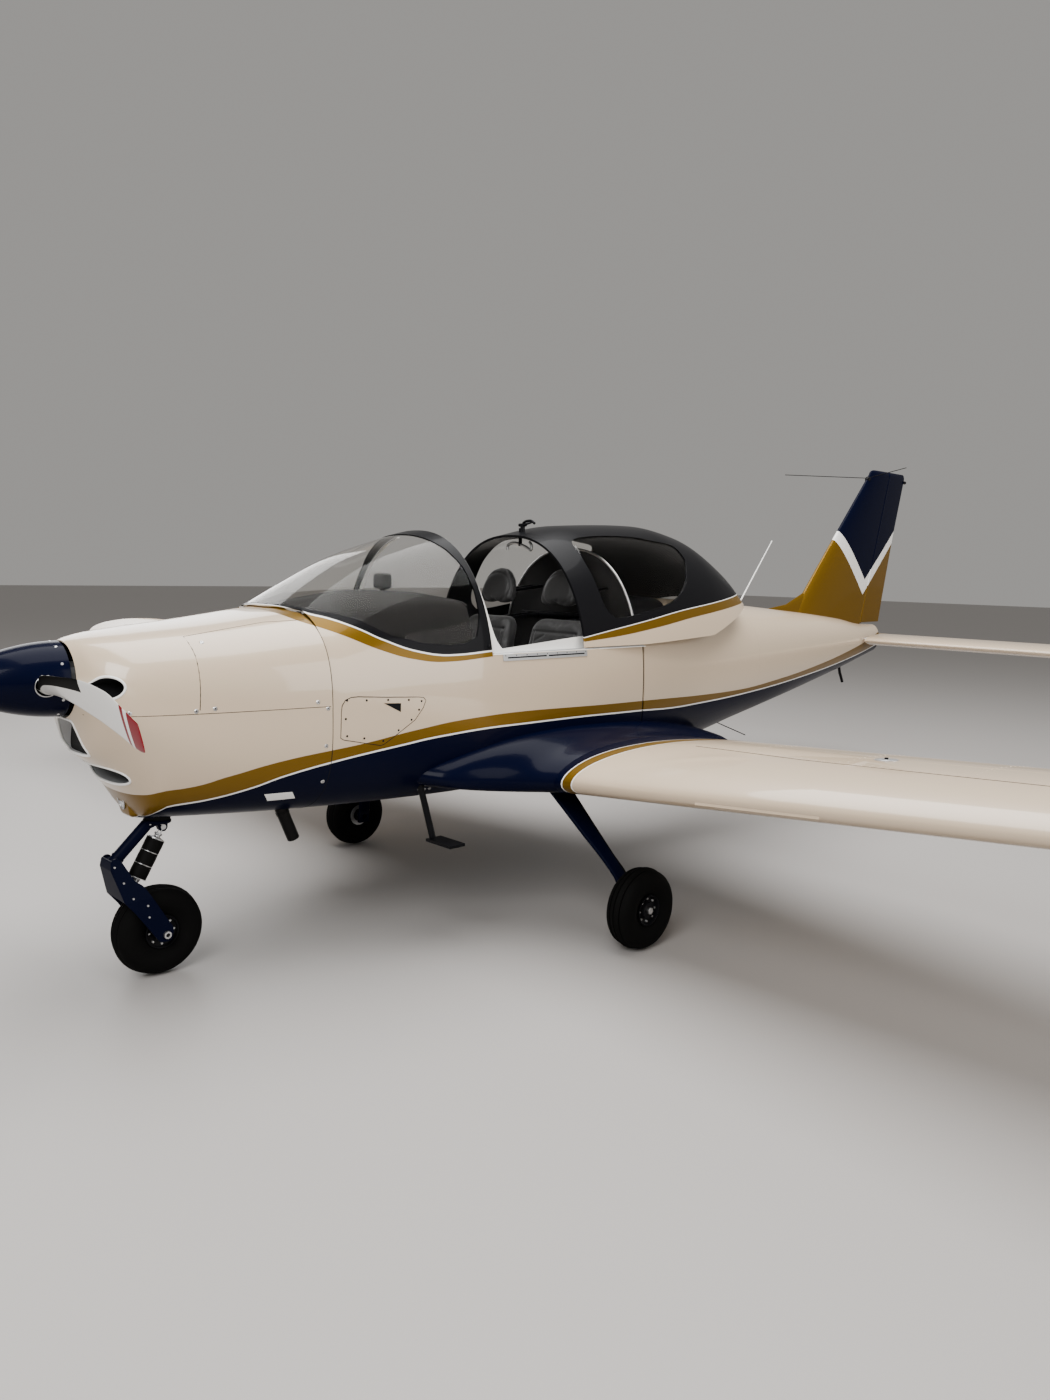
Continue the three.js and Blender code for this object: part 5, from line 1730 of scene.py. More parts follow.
    def sill(self):
        """Rails of the canopy, with the slotted strips on the body's sides."""
        for side, name in SIDES:
            low, high = sorted((side * 514.5, side * 533.5))
            rail = rounded_box("rail", (1991, low, 1228.4), (2980, high, 1233.4), finish("satin"), 1.2, 2)
            low_edge, high_edge = sorted((side * 482, side * 541))
            ledge_foot, ledge_head = (1985, low_edge, 1225.5), (2988, high_edge, 1228.4)
            top = rounded_box("ledge", ledge_foot, ledge_head, finish("white"), 1, 2)
            strip = patch("strip", (2036, 1198), (2556, 1226), side, "satin", 3, 14, True)
            # Dark patches on the strip: painted shade standing for the depth of its slots.
            slots = [
                patch("slot", (station, 1208), (station + 230, 1214), side, "dark", 3.6, 14, True)
                for station in (2062, 2306)
            ]
            stations = range(2050, 2550, 62)
            spots = [surface(station, side, 1220, out=2.6, glazed=True) for station in stations]
            screws = studs("screws", spots, 0.003, 0.0012, 10, finish("dark"))
            outline = [(1996, 1228), *COAMING, (2986, 1228)]
            low, high = sorted((side * 483.0, side * 491.0))
            wall = prism("coaming", outline, low, high, finish("white"))
            seat_on(join("canopy_track_" + name, [rail, top, strip, *slots, screws, wall]), "airframe",
                    "rail_metal", "canopy_rail_" + name)


def half_thickness(x):
    return 5 * (0.2969 * math.sqrt(x) - 0.126 * x - 0.3516 * x**2 + 0.2843 * x**3 - 0.1036 * x**4)


def camber(x):
    return 0.12 * x * (1 - x)


def foil(count, bent=True):
    """Unit aerofoil: chord share, half thickness with its sign, rise of the middle line."""
    points = []
    for i in range(2 * count):
        x = (1 + math.cos(math.pi * i / count)) / 2
        side = 1 if i <= count else -1
        points.append((x, side * half_thickness(x), camber(x) if bent else 0.0))
    return points


def wing_chord(y):
    share = max(0.0, (y - TAPER_START) / (TIP_RIB - TAPER_START))
    return ROOT_CHORD + share * (TIP_CHORD - ROOT_CHORD)


def wing_z(y):
    return WING_Z + (y - WING_Z_AT) * DIHEDRAL


def wing_ring(y, side, chord=None, front=WING_LE, z=None, ratio=THICKNESS_RATIO):
    chord = wing_chord(y) if chord is None else chord
    z = wing_z(y) if z is None else z
    return [
        at(front + x * chord, side * y, z + chord * (half * ratio + rise)) for x, half, rise in foil(32)
    ]


def wing_rings(side, root):
    """Rings from the root to the rounded tip."""
    rings = [wing_ring(y, side) for y in spread(root, TIP_RIB, 300)]
    for step in range(1, 9):
        share = step / 8
        y = TIP_RIB + (HALF_SPAN - TIP_RIB) * math.sin(share * math.pi / 2)
        chord = TIP_CHORD - 300 * (1 - math.cos(share * math.pi / 2)) ** 1.4
        front = WING_LE + 170 * (1 - math.cos(share * math.pi / 2)) ** 1.4
        lift = 66 * share**2
        ratio = THICKNESS_RATIO * (1 - 0.62 * share**3)
        rings.append(wing_ring(y, side, chord, front, wing_z(y) + lift, ratio))
    return rings


def hinge_point(y, side):
    """Hinge of a flap or aileron, and the height of the wing above it."""
    chord = wing_chord(y)
    x = 1 - SURFACE_CHORD / chord
    lower, upper = (
        wing_z(y) + chord * (sign * THICKNESS_RATIO * half_thickness(x) + camber(x)) for sign in (-1, 1)
    )
    return at(WING_LE + chord - SURFACE_CHORD, side * y, lower + HINGE_DEPTH), upper - lower - HINGE_DEPTH


def surface_slab(span, side, droop, gap=0, lip=0):
    """Everything aft of a surface's round nose, between end faces square to the hinge."""
    inner, outer = span
    axis = (hinge_point(outer, side)[0] - hinge_point(inner, side)[0]).normalized()
    rows = []
    for y in (inner - gap, outer + gap):
        centre, height = hinge_point(y, side)
        radius = height - droop + gap
        first = math.pi / 2 + math.asin(lip / radius)
        spots = []
        for i in range(17):
            angle = first + (math.pi - first) * i / 16
            spots.append((radius * math.cos(angle), radius * math.sin(angle)))
        spots += [(-radius, -120), (700, -120), (700, 200), (-lip, 200)]
        row = []
        for x, z in spots:
            point = centre + Vector((x, 0, z)) * MM
            point.y -= (point - centre).dot(axis) / axis.y
            row.append(point)
        rows.append(row)
    return loft("surface_cutter", rows, finish("wing"))


# Root fairing: distance across, chord beyond the root's, front ahead of the wing's, height, thickness
FAIRING = (
    (380, 620, -560, 745, 0.13), (560, 470, -430, 725, 0.11), (680, 130, -110, 695, 0.13),
    (760, 0, 0, wing_z(FAIRING_EDGE), THICKNESS_RATIO),
)


class TRAINER_OT_wings(Operator):
    """Wings, flaps, ailerons and root fairings"""

    bl_idname = "trainer.wings"
    bl_label = "Wings"

    def execute(self, context):
        for side, name in SIDES:
            self.wing(side, name)
            self.fairing(side, name)
            wing_details(side, name)
        return {"FINISHED"}

    def whole(self, name, side, root):
        return loft(name, wing_rings(side, root), finish("wing"), 30)

    def wing(self, side, name):
        wing = self.whole("wing_skin_" + name, side, FAIRING_EDGE + 0.3)
        cut(wing, [
            surface_slab(FLAP, side, FLAP_DROOP, SURFACE_GAP, SURFACE_GAP),
            surface_slab(AILERON, side, 0, SURFACE_GAP, AILERON_LIP),
        ], sharp=30)
        seat_on(wing, "airframe", "ivory_paint", "wing_" + name)
        for part, span, droop in (("flap", FLAP, FLAP_DROOP), ("aileron", AILERON, 0)):
            surface = self.whole(part + "_skin_" + name, side, FAIRING_EDGE + 0.3)
            cut(surface, [surface_slab(span, side, droop)], "INTERSECT", 30)
            seat_on(surface, part + "_" + name, "ivory_paint", part + "_" + name)

    def fairing(self, side, name):
        rows = []
        for y in spread(WING_ROOT_Y, FAIRING_EDGE, 20):
            longer, ahead, z, ratio = (smooth(FAIRING, y, column) for column in range(1, 5))
            rows.append(wing_ring(y, side, ROOT_CHORD + longer, WING_LE + ahead, z, ratio))
        fairing = loft("root_fairing_" + name, rows, finish("navy"), 30)
        seat_on(fairing, "airframe", "navy_paint", "wing_root_fairing_" + name)


def wing_spot(y, side, station, top=1):
    """Place and facing on a wing's upper or lower skin."""
    def place(across, along):
        chord = wing_chord(across)
        x = min(0.999, max(0.0005, (along - WING_LE) / chord))
        rise = top * THICKNESS_RATIO * half_thickness(x) + camber(x)
        return at(along, side * across, wing_z(across) + chord * rise)

    here = place(y, station)
    facing = (place(y, station + 3) - here).cross(place(y + 3, station) - here).normalized()
    return here, facing if facing.z * top > 0 else -facing


SPAR_LAP = ((1150, 2600), (1705, 2504), (2115, 2469), (2613, 2432), (4300, 2390))
FUEL_CAP = (1975, 2650)


def wing_details(side, name):
    """Rivets, laps, fuel cap, stall strip, drain and tip lamp of a wing."""
    rows = []
    for top in (1, -1):
        for y in spread(1180, 4260, 34):
            lap = straight(SPAR_LAP, y)
            rows += [wing_spot(y, side, lap + 12, top), wing_spot(y, side, lap + 34, top)]
            rows.append(wing_spot(y, side, WING_LE + wing_chord(y) - SURFACE_CHORD - 26, top))
        for y in range(1400, 4300, 480):
            rear = WING_LE + wing_chord(y) - SURFACE_CHORD - 60
            front = straight(SPAR_LAP, y) + 60
            rows += [wing_spot(y, side, station, top) for station in spread(front, rear, 42)]
    parts = [studs("rivets", rows, 0.0034, 0.0007, 7, finish("wing"))]
    for top in (1, -1):
        lap = [wing_spot(y, side, station, top)[0] for y, station in on_line(SPAR_LAP, 60)]
        parts.append(tube("lap", lap, 0.0012, finish("dark"), 6))
    place, facing = wing_spot(FUEL_CAP[0], side, FUEL_CAP[1])
    parts.append(turned("cap", [(-1, 0), (-1, 44), (1.4, 44), (1.6, 34), (3, 33), (3.4, 0)], place, facing,
                        finish("satin"), 36))
    parts.append(turned("grip", [(2, 0), (2, 8), (9, 7), (10, 0)], place, facing, finish("dark"), 20))
    front = [wing_spot(y, side, WING_LE + 5, -1)[0] for y in spread(1490, 2000, 60)]
    parts.append(tube("stall_strip", front, 0.0065, finish("wing"), 3))
    drain, down = wing_spot(1300, side, 2500, -1)
    parts.append(turned("drain", [(-1, 0), (-1, 10), (6, 8), (7, 0)], drain, down, finish("satin"), 16))
    tip = at(WING_LE + 300, side * (HALF_SPAN - 24), wing_z(HALF_SPAN) + 46)
    lamp = turned("lamp", [(-70, 0), (-62, 10), (-30, 17), (10, 17), (45, 10), (60, 0)], tip, (1, 0, 0.02),
                  finish("red" if side < 0 else "green"), 24)
    seat_on(join("wing_details_" + name, [*parts, lamp]), "airframe", "ivory_paint")


def fin_ring(z, front, rear, half):
    return [at(front + x * (rear - front), h * half / 0.5, z) for x, h, _ in foil(24, False)]


def rudder_hinge(z):
    (foot_x, foot_z), (head_x, head_z) = RUDDER_FOOT, RUDDER_HEAD
    return foot_x + (head_x - foot_x) * (z - foot_z) / (head_z - foot_z)


RIVET_START = 3020
RIVET_STEP = 34

# Dorsal fillet: station, foot, top, half width
DORSAL = ((4850, 1330, 1362, 3), (5100, 1290, 1392, 12), (5330, 1270, 1478, 26))
FIN_SHOULDER = 2330
CUT_TOP = 2600


class TRAINER_OT_tail(Operator):
    """Fin, rudder, stabilator and its tab"""

    bl_idname = "trainer.tail"
    bl_label = "Tail"

    def execute(self, context):
        self.fin()
        self.stabilator()
        self.aerials()
        self.rivets()
        return {"FINISHED"}

    def aerials(self):
        """Whiskers of the fin, tail lamp, belly whip and the puck on the deck."""
        parts = [turned("whisker_foot", [(-2, 0), (-2, 22), (8, 20), (18, 13), (20, 0)], at(6110, 0, 2290),
                        (-0.7, 0, 0.7), finish("black"), 24)]
        for side in (-1, 1):
            parts.append(rod("whisker", (6100, side * 6, 2300), (5745, side * 463, 2318), 2.6, "black", 8))
        puck = [(0, 0), (-6, 70), (4, 70), (16, 60), (22, 40), (24, 0)]
        parts.append(turned("puck", puck, at(4460, 0, section(4460)[2]), (0.07, 0, 1), finish("white"), 48))
        parts.append(rod("belly_whip", (4251, 0, 700), (4697, 0, 545), 3.2, "black", 10))
        parts.append(turned("whip_foot", [(0, 0), (0, 18), (14, 12), (30, 6), (30, 0)], at(4248, 0, 696),
                            (0.3, 0, -1), finish("black"), 20))
        seat_on(join("aerials", parts), "airframe", "trim_plastic")
        lamp = turned("tail_lamp", [(-12, 0), (-12, 11), (12, 12), (22, 8), (25, 0)], at(6674, 0, 2308),
                      AFT, finish("black"), 20)
        seat_on(lamp, "rudder", "trim_plastic")

    def rivets(self):
        """Rivets of the rear body and belly, and the step's bolts."""
        spots = []
        for side in (-1, 1):
            for height in (700, 760, 880):
                spots += [
                    surface(station, side, height + (station - RIVET_START) * 0.075)
                    for station in range(RIVET_START, 4260, RIVET_STEP)
                ]
            for station in (3004, 3620, 4262):
                low, high = section(station)[0] + 25, section(station)[2] - 60
                spots += [surface(station + 14, side, z) for z in spread(low, high, RIVET_STEP)]
            spots += [surface(station, side, 642, glazed=True) for station in range(1300, 2100, RIVET_STEP)]
        rivets = studs("rivets", spots, sizes().rivet, 0.0005, 7, finish("body"))
        bolts = studs("bolts", [surface(station, -1, 668) for station in (1688, 1712, 1736)], 0.008, 0.005, 6,
                      finish("steel"))
        seat_on(join("body_rivets", [rivets, bolts]), "airframe", "ivory_paint")

    def whole_fin(self, name, low):
        rows = [fin_ring(z, *(straight(FIN, z, c) for c in (1, 2, 3))) for z in spread(low, FIN_SHOULDER, 60)]
        for step in range(1, 7):
            share = step / 6
            z = FIN_SHOULDER + 34 * math.sin(share * math.pi / 2)
            pull = 1 - math.cos(share * math.pi / 2)
            rows.append(fin_ring(z, 6128 + 70 * pull, 6672 - 30 * pull, 26 - 20 * pull))
        return loft(name, rows, finish("fin"), 30)

    def behind(self, low):
        """Everything behind the rudder's hinge line."""
        foot, head = (rudder_hinge(z) for z in (low, CUT_TOP))
        outline = [(foot, low), (7000, low), (7000, CUT_TOP), (head, CUT_TOP)]
        return prism("hinge_cutter", outline, -200, 200, finish("fin"))

    def nose_bar(self, radius, low, high=CUT_TOP):
        ends = [at(rudder_hinge(z), 0, z) for z in (low, high)]
        return tube("hinge_cutter", ends, radius * MM, finish("fin"), 32)

    def fin(self):
        fin = self.whole_fin("fin_skin", 1210)
        cut(fin, [self.behind(1000), self.nose_bar(RUDDER_NOSE + 7, 1000)], sharp=30)
        dorsal_rows = []
        for station, low, high, half in DORSAL:
            dorsal_rows.append([
                at(station, half * math.cos(turn), low + (high - low) * math.sin(turn))
                for turn in (math.pi * i / 12 for i in range(13))
            ])
        dorsal = loft("dorsal", dorsal_rows, finish("fin"), 30)
        seat_on(join("fin_skins", [fin, dorsal]), "airframe", "gold_paint", "fin")
        rudder = self.whole_fin("rudder_skin", RUDDER_LOW)
        cut(rudder, [self.behind(1000)], "INTERSECT", 30)
        nose = self.nose_bar(RUDDER_NOSE, RUDDER_LOW, 2326)
        seat_on(join("rudder_skins", [rudder, nose]), "rudder", "gold_paint", "rudder")

    def stab_ring(self, y, front=STAB_LE, chord=STAB_CHORD, ratio=0.1):
        return [at(front + x * chord, y, STAB_Z + half * chord * ratio) for x, half, _ in foil(32, False)]

    def whole_stab(self, name):
        spans = []
        for step in range(7):
            share = step / 6
            reach = STAB_HALF_SPAN - 60 + 60 * math.sin(share * math.pi / 2)
            pull = 1 - math.cos(share * math.pi / 2)
            spans.append((reach, pull))
        table = [(-reach, pull) for reach, pull in reversed(spans)] + spans
        rows = [
            self.stab_ring(y, STAB_LE + 30 * pull, STAB_CHORD - 50 * pull, 0.1 * (1 - 0.5 * pull))
            for y, pull in table
        ]
        return loft(name, rows, finish("ivory"), 30)

    def stabilator(self):
        block = lambda low, high: rounded_box("tail_cutter", low, high, finish("ivory"), 0.5, 1)
        stab = self.whole_stab("stabilator_skin")
        cut(stab, [
            block((STAB_LE - 50, -STAB_NOTCH, 900), (TAIL_END + 60, STAB_NOTCH, 1400)),
            block((TAB_HINGE - 18, -TAB_HALF_SPAN - 6, 900), (6800, TAB_HALF_SPAN + 6, 1400)),
        ], sharp=30)
        spar = tube(
            "stabilator_spar", [at(STAB_PIVOT, y, STAB_Z) for y in (-STAB_NOTCH - 60, STAB_NOTCH + 60)],
            29 * MM, finish("steel"), 32,
        )
        seat_on(join("stabilator_skins", [stab, spar]), "stabilator", "ivory_paint", "stabilator")
        tab = self.whole_stab("tab_skin")
        cut(tab, [block((TAB_HINGE, -TAB_HALF_SPAN, 900), (6800, TAB_HALF_SPAN, 1400))], "INTERSECT", 30)
        nose = tube(
            "tab_nose", [at(TAB_HINGE + 2, y, STAB_Z) for y in (-TAB_HALF_SPAN, TAB_HALF_SPAN)],
            11 * MM, finish("ivory"), 16,
        )
        seat_on(join("tab_skins", [tab, nose]), "anti_servo_tab", "ivory_paint", "anti_servo_tab")


def blade_frame():
    out = Vector((0, -math.cos(BLADE_TILT), -math.sin(BLADE_TILT)))
    across = Vector((0, math.sin(BLADE_TILT), -math.cos(BLADE_TILT)))
    return out, across


class TRAINER_OT_propeller(Operator):
    """Propeller blades and spinner"""

    bl_idname = "trainer.propeller"
    bl_label = "Propeller and spinner"

    def execute(self, context):
        blades = [self.blade(side) for side in (1, -1)]
        hub = turned(
            "hub", [(290, 0), (290, 60), (396, 60), (396, 127), (405, 127), (405, 0)],
            at(0, 0, THRUST_Z), AFT, finish("steel"),
        )
        seat_on(join("propeller_blades", [*blades, hub]), "propeller", "white_blade", "propeller")
        self.spinner()
        return {"FINISHED"}

    def blade(self, side):
        out, across = blade_frame()
        rows = []
        leads = []
        for radius in spread(50, 875, 15) + [880, 884, 885]:
            chord, thickness, pitch, middle = (smooth(BLADE, radius, column) for column in (1, 2, 3, 4))
            turn = math.radians(pitch)
            row = []
            for angle in circle(32):
                along = middle + chord / 2 * math.cos(angle)
                through = thickness / 2 * math.sin(angle)
                forward = through * math.cos(turn) - along * math.sin(turn)
                sideways = along * math.cos(turn) + through * math.sin(turn)
                base = at(BLADE_STATION - forward, 0, THRUST_Z)
                row.append(base + (out * radius + across * sideways) * side * MM)
                leads.append(1 if math.cos(angle) < -0.35 and through > -3 else 0)
            rows.append(row)
        blade = loft("blade", rows, finish("blade"), 50)
        blade.data.materials.append(finish("rubber"))
        for face in blade.data.polygons:
            reach = (face.center - at(BLADE_STATION, 0, THRUST_Z)).dot(out) * side / MM
            if len(face.vertices) == 4 and STRIP[0] < reach < STRIP[1]:
                leading = sum(leads[index] for index in face.vertices) == 4
                face.material_index = 1 if leading else 0
        return blade

    def spinner(self):
        rows = [
            (SPINNER_END * i / 40, SPINNER_RADIUS * math.sin(math.pi * i / 80) ** SPINNER_CURVE)
            for i in range(41)
        ]
        inner = [(x + 6, max(r - 5, 0)) for x, r in rows[:-1]]
        profile = rows + [(SPINNER_END, SPINNER_RADIUS - 6)] + inner[::-1]
        spinner = turned("spinner_skin", profile, at(0, 0, THRUST_Z), AFT, finish("navy"), 96)
        out, across = blade_frame()
        centre = at(BLADE_STATION, 0, THRUST_Z)
        cut(spinner, [
            tube("root_cutter", [centre, centre + out * side * 0.2], ROOT_HOLE * MM, finish("navy"), 48)
            for side in (1, -1)
        ])
        rims = []
        for side in (1, -1):
            ring = []
            for angle in circle(48):
                spoke = (Vector(AFT) * math.cos(angle) + across * math.sin(angle)) * ROOT_HOLE * MM
                share = min(((centre + spoke).x - NOSE) / MM / SPINNER_END, 1)
                radius = SPINNER_RADIUS * math.sin(math.pi * share / 2) ** SPINNER_CURVE * MM
                sideways = spoke.dot(across)
                ring.append(centre + spoke + out * side * math.sqrt(radius * radius - sideways * sideways))
            rims.append(tube("root_rim", ring, 0.0022, finish("steel"), 8, closed=True))
        spots = []
        for turn in (-62, -28, 28, 62, 118, 152, 208, 242, 90, 270):
            facing = Vector((0, math.cos(math.radians(turn)), math.sin(math.radians(turn))))
            spots.append((at(SPINNER_END - 24, 0, THRUST_Z) + facing * (SPINNER_RADIUS - 0.8) * MM, facing))
        screws = studs("spinner_screws", spots, sizes().screw * 0.9, 0.0016, 14, finish("steel"))
        spinner = join("spinner_shell", [spinner, *rims, screws])
        seat_on(spinner, "propeller", "navy_paint", "spinner")


KNEE = (572, 0, 462)
LEG_HEAD = (726, 0, 611)
STEER_AXIS = Vector((50, 0, 613)).normalized()
SHOCK_LUG = (
    (700, 600), (712, 574), (745, 586), (752, 566), (762, 558), (776, 558), (786, 570), (788, 600),
)
SHOCK_TOP = (768, 0, 576)
SHOCK_FOOT = (652, 0, 372)
FORK_PLATE = (
    (549, 460), (552, 480), (562, 492), (578, 492), (590, 480), (600, 460), (632, 398), (654, 384),
    (668, 366), (688, 330), (767, 196), (762, 152), (748, 146), (712, 150), (620, 284), (583, 330),
    (563, 400),
)
FORK_FRONT = ((547, 452), (551, 484), (559, 486), (556, 452), (590, 332), (583, 328))
FORK_BOLTS = ((562, 463), (588, 402), (616, 340), (669, 303), (673, 257))
FORK_HALF = 78
FORK_OUTER = 86
FORK_BEND = 330
FORK_LEAN = 0.26


def lean_in(obj):
    """Lean the part above the bend towards the middle."""
    mesh = bmesh.new()
    mesh.from_mesh(obj.data)
    geometry = [*mesh.verts, *mesh.edges, *mesh.faces]
    bmesh.ops.bisect_plane(mesh, geom=geometry, plane_co=(0, 0, FORK_BEND * MM), plane_no=(0, 0, 1))
    for vertex in mesh.verts:
        lean = max(vertex.co.z - FORK_BEND * MM, 0) * FORK_LEAN
        vertex.co.y -= math.copysign(lean, vertex.co.y)
    mesh.to_mesh(obj.data)
    mesh.free()
    return obj


def on_steer_axis(z):
    return at(700 + 50 * z / 613, 0, z)


# Main leg: distance across, height, half width, half thickness
MAIN_LEG = (
    (550, 679, 66, 22), (770, 464, 48, 19), (930, 306, 35, 15), (958, 268, 34, 13), (972, 200, 34, 13),
)

# Brake hose from the wheel to the root fairing: station, distance across, height
BRAKE_HOSE = (
    (MAIN_AXLE + 10, 975, 243), (2402, 956, 292), (2392, 884, 367), (2388, 800, 450), (2384, 700, 549),
    (2382, 622, 625),
)

# Sections of a tyre's wall and of a rim: distance across, radius
TYRE_WALL = ((40, 66.3), (59, 98), (62, 110), (TYRE_HALF, 128), (59, 146), (50, 158))
RIM_ROWS = (
    (-48, 14.3), (-48, 34), (-32, 38), (-36, 60), (-50, RIM_RADIUS), (50, RIM_RADIUS), (36, 60), (32, 38),
    (48, 34), (48, 14.3), (-48, 14.3),
)


class TRAINER_OT_gear(Operator):
    """Wheels, legs, fork and shock"""

    bl_idname = "trainer.gear"
    bl_label = "Landing gear"

    def execute(self, context):
        for name, station, y in (
            ("nose", NOSE_AXLE, 0), ("port", MAIN_AXLE, -MAIN_TRACK), ("starboard", MAIN_AXLE, MAIN_TRACK),
        ):
            self.wheel(name, station, y)
        self.nose_leg()
        self.fork()
        self.shock()
        for side, name in SIDES:
            self.main_leg(side, name)
            dress("step_" + name, finish("black"))
        self.exhaust()
        dress("nose_gear_pivot", finish("dark"))
        dress("tail_skid", finish("black"))
        dress("whip_antenna", finish("white"))
        return {"FINISHED"}

    def nose_leg(self):
        leg = rod("leg", KNEE, LEG_HEAD, 23, "gear")
        cut(leg, [rounded_box("over_plate", (600, -60, 609), (800, 60, 700), finish("gear"), 0.5, 1)])
        parts = [
            leg,
            rod("knee", (KNEE[0], -36, KNEE[2]), (KNEE[0], 36, KNEE[2]), 22, "gear"),
            rod("collar", (KNEE[0] + 20, 0, KNEE[2] + 19.4), (KNEE[0] + 26, 0, KNEE[2] + 25.2), 25.5, "gear"),
            turned("turn_plate", [(0, 0), (0, 49), (3, 52), (10, 52), (13, 49), (13, 0)],
                   on_steer_axis(597), STEER_AXIS, finish("gear")),
            prism("lug", eased(SHOCK_LUG, 3), -10, 10, finish("gear")),
            rod("lug_pin", (768, -14, 576), (768, 14, 576), 6, "steel", 16),
        ]
        for turn in range(6):
            angle = math.radians(30 + 60 * turn)
            base = on_steer_axis(594)
            parts.append(turned(
                "plate_bolt", disc(0, 4, 5),
                base + Vector((math.cos(angle), math.sin(angle), 0)) * 0.041, STEER_AXIS, finish("steel"), 6,
            ))
        seat_on(join("nose_leg_tube", parts), "nose_gear", "gear_steel", "nose_leg")

    def fork(self):
        outline = eased(FORK_PLATE, 10)
        parts = [
            lean_in(prism("plate", outline, side * FORK_OUTER, side * FORK_HALF, finish("gear")))
            for side in (-1, 1)
        ]
        front = prism("front_plate", eased(FORK_FRONT, 3), -FORK_HALF - 6, FORK_HALF + 6, finish("gear"))
        parts.append(lean_in(front))
        parts.append(rounded_box("bridge", (566, -58, 396), (606, 58, 430), finish("gear"), 5))
        spots = []
        for side in (-1, 1):
            for station, z in FORK_BOLTS:
                out = FORK_OUTER - max(z - FORK_BEND, 0) * FORK_LEAN
                spots.append((at(station, side * out, z), Vector((0, side, 0))))
            parts.append(turned(
                "axle_end", [(0, 0), (0, 14), (3, 15), (12, 14), (12, 8), (4, 7.5), (4, 0)],
                at(NOSE_AXLE, side * FORK_OUTER, TYRE_RADIUS), (0, side, 0), finish("satin"), 32,
            ))
            # Dark plug at the bottom of the axle end's bore: painted shade of the hollow.
            parts.append(turned(
                "axle_bore_shade", [(0, 0), (0, 8), (6, 7), (6, 0)],
                at(NOSE_AXLE, side * 89, TYRE_RADIUS), (0, side, 0), finish("dark"), 20,
            ))
        ends = [(NOSE_AXLE, y, TYRE_RADIUS) for y in (-FORK_OUTER, FORK_OUTER)]
        parts.append(rod("axle", *ends, 14, "steel"))
        parts.append(studs("fork_bolts", spots, 0.0047, 0.003, 12, finish("satin")))
        seat_on(join("nose_fork_plates", parts), "nose_gear", "gear_steel", "nose_fork")

    def shock(self):
        top, foot = at(*SHOCK_TOP), at(*SHOCK_FOOT)
        along = (foot - top).normalized()
        length = (foot - top).length / MM
        parts = []
        low, high = 0.215 * length, 0.89 * length
        each = (high - low) / 3
        for i in range(3):
            start, end = low + each * i + 0.8, low + each * (i + 1) - 0.8
            middle = (start + end) / 2
            rows = [(start, 0), (start, 33.4), (start + 1.2, 34.4), (middle, 35), (end - 1.2, 34.4),
                    (end, 33.4), (end, 0)]
            parts.append(turned("puck", rows, top, along, finish("rubber"), 40))
        for i in range(4):
            spot = low + each * i
            parts.append(turned(
                "plate", disc(spot - 1.2, spot + 1.2, 35.4),
                top, along, finish("steel"), 40,
            ))
        parts.append(turned("rod", disc(30, low, 8), top, along, finish("satin"), 20))
        parts.append(turned("yoke", [(27, 0), (27, 14), (33, 15.5), (37, 12), (37, 0)], top, along,
                            finish("satin"), 24))
        for side in (-1, 1):
            ends = [(x, side * 12.6, z) for x, z in ((768, 576), (753.5, 550.5))]
            parts.append(rod("cheek", *ends, 2.1, "satin", 12))
            parts.append(turned("cheek_eye", disc(10.5, 14.7, 10), top, (0, side, 0), finish("satin"), 24))
        cup = [(low - 16, 0), (low - 16, 11), (low - 9, 12), (low - 3, 30), (low - 1, 30), (low - 1, 0)]
        parts.append(turned("cup", cup, top, along, finish("satin"), 32))
        clevis = [(high + 1, 0), (high + 1, 17), (length - 6, 13), (length, 9), (length, 0)]
        parts.append(turned("clevis", clevis, top, along, finish("satin"), 24))
        parts.append(turned("eye", disc(-9, 9, 13), foot, ACROSS, finish("satin"), 24))
        pin_half = FORK_HALF - (SHOCK_FOOT[2] + 9 - FORK_BEND) * FORK_LEAN - 0.5
        ends = [(SHOCK_FOOT[0], side * pin_half, SHOCK_FOOT[2]) for side in (-1, 1)]
        parts.append(rod("pin", *ends, 7, "steel", 16))
        seat_on(join("nose_shock_pucks", parts), "nose_gear", "shock_rubber", "nose_shock")

    def main_leg(self, side, name):
        rows = []
        for y in [*spread(550, 950, 20), 958, 965, 972]:
            z, half, thick = (smooth(MAIN_LEG, y, column) for column in (1, 2, 3))
            middle = 2340 + (y - 720) * 0.14
            rows.append([
                at(middle + bulge(math.cos(angle), 0.6) * half,
                   side * (y + bulge(math.sin(angle), 0.6) * thick), z)
                for angle in circle(28)
            ])
        parts = [loft("spring", rows, finish("gear"), 35)]
        low, high = sorted((side * 962, side * 988))
        axle = TYRE_RADIUS
        parts.append(rounded_box("foot", (MAIN_AXLE - 34, low, 140), (MAIN_AXLE + 34, high, 208),
                                 finish("navy"), 5))
        low, high = sorted((side * 963, side * 992))
        parts.append(rounded_box("caliper", (MAIN_AXLE - 20, low, 200), (MAIN_AXLE + 36, high, 246),
                                 finish("satin"), 6))
        parts.append(rod("axle", (MAIN_AXLE, side * 962, axle), (MAIN_AXLE, side * 1119, axle), 14, "steel"))
        parts.append(turned(
            "axle_nut", [(0, 0), (0, 13), (2, 15), (8, 15), (10, 12), (10, 0)],
            at(MAIN_AXLE, side * 1113.5, axle), (0, side, 0), finish("satin"), 6,
        ))
        line = [at(station, side * y, z) for station, y, z in BRAKE_HOSE]
        parts.append(tube("brake_hose", curved(line), 0.004, finish("rubber"), 8))
        seat_on(join("main_leg_spring_" + name, parts), "airframe", "gear_steel", "main_leg_" + name)

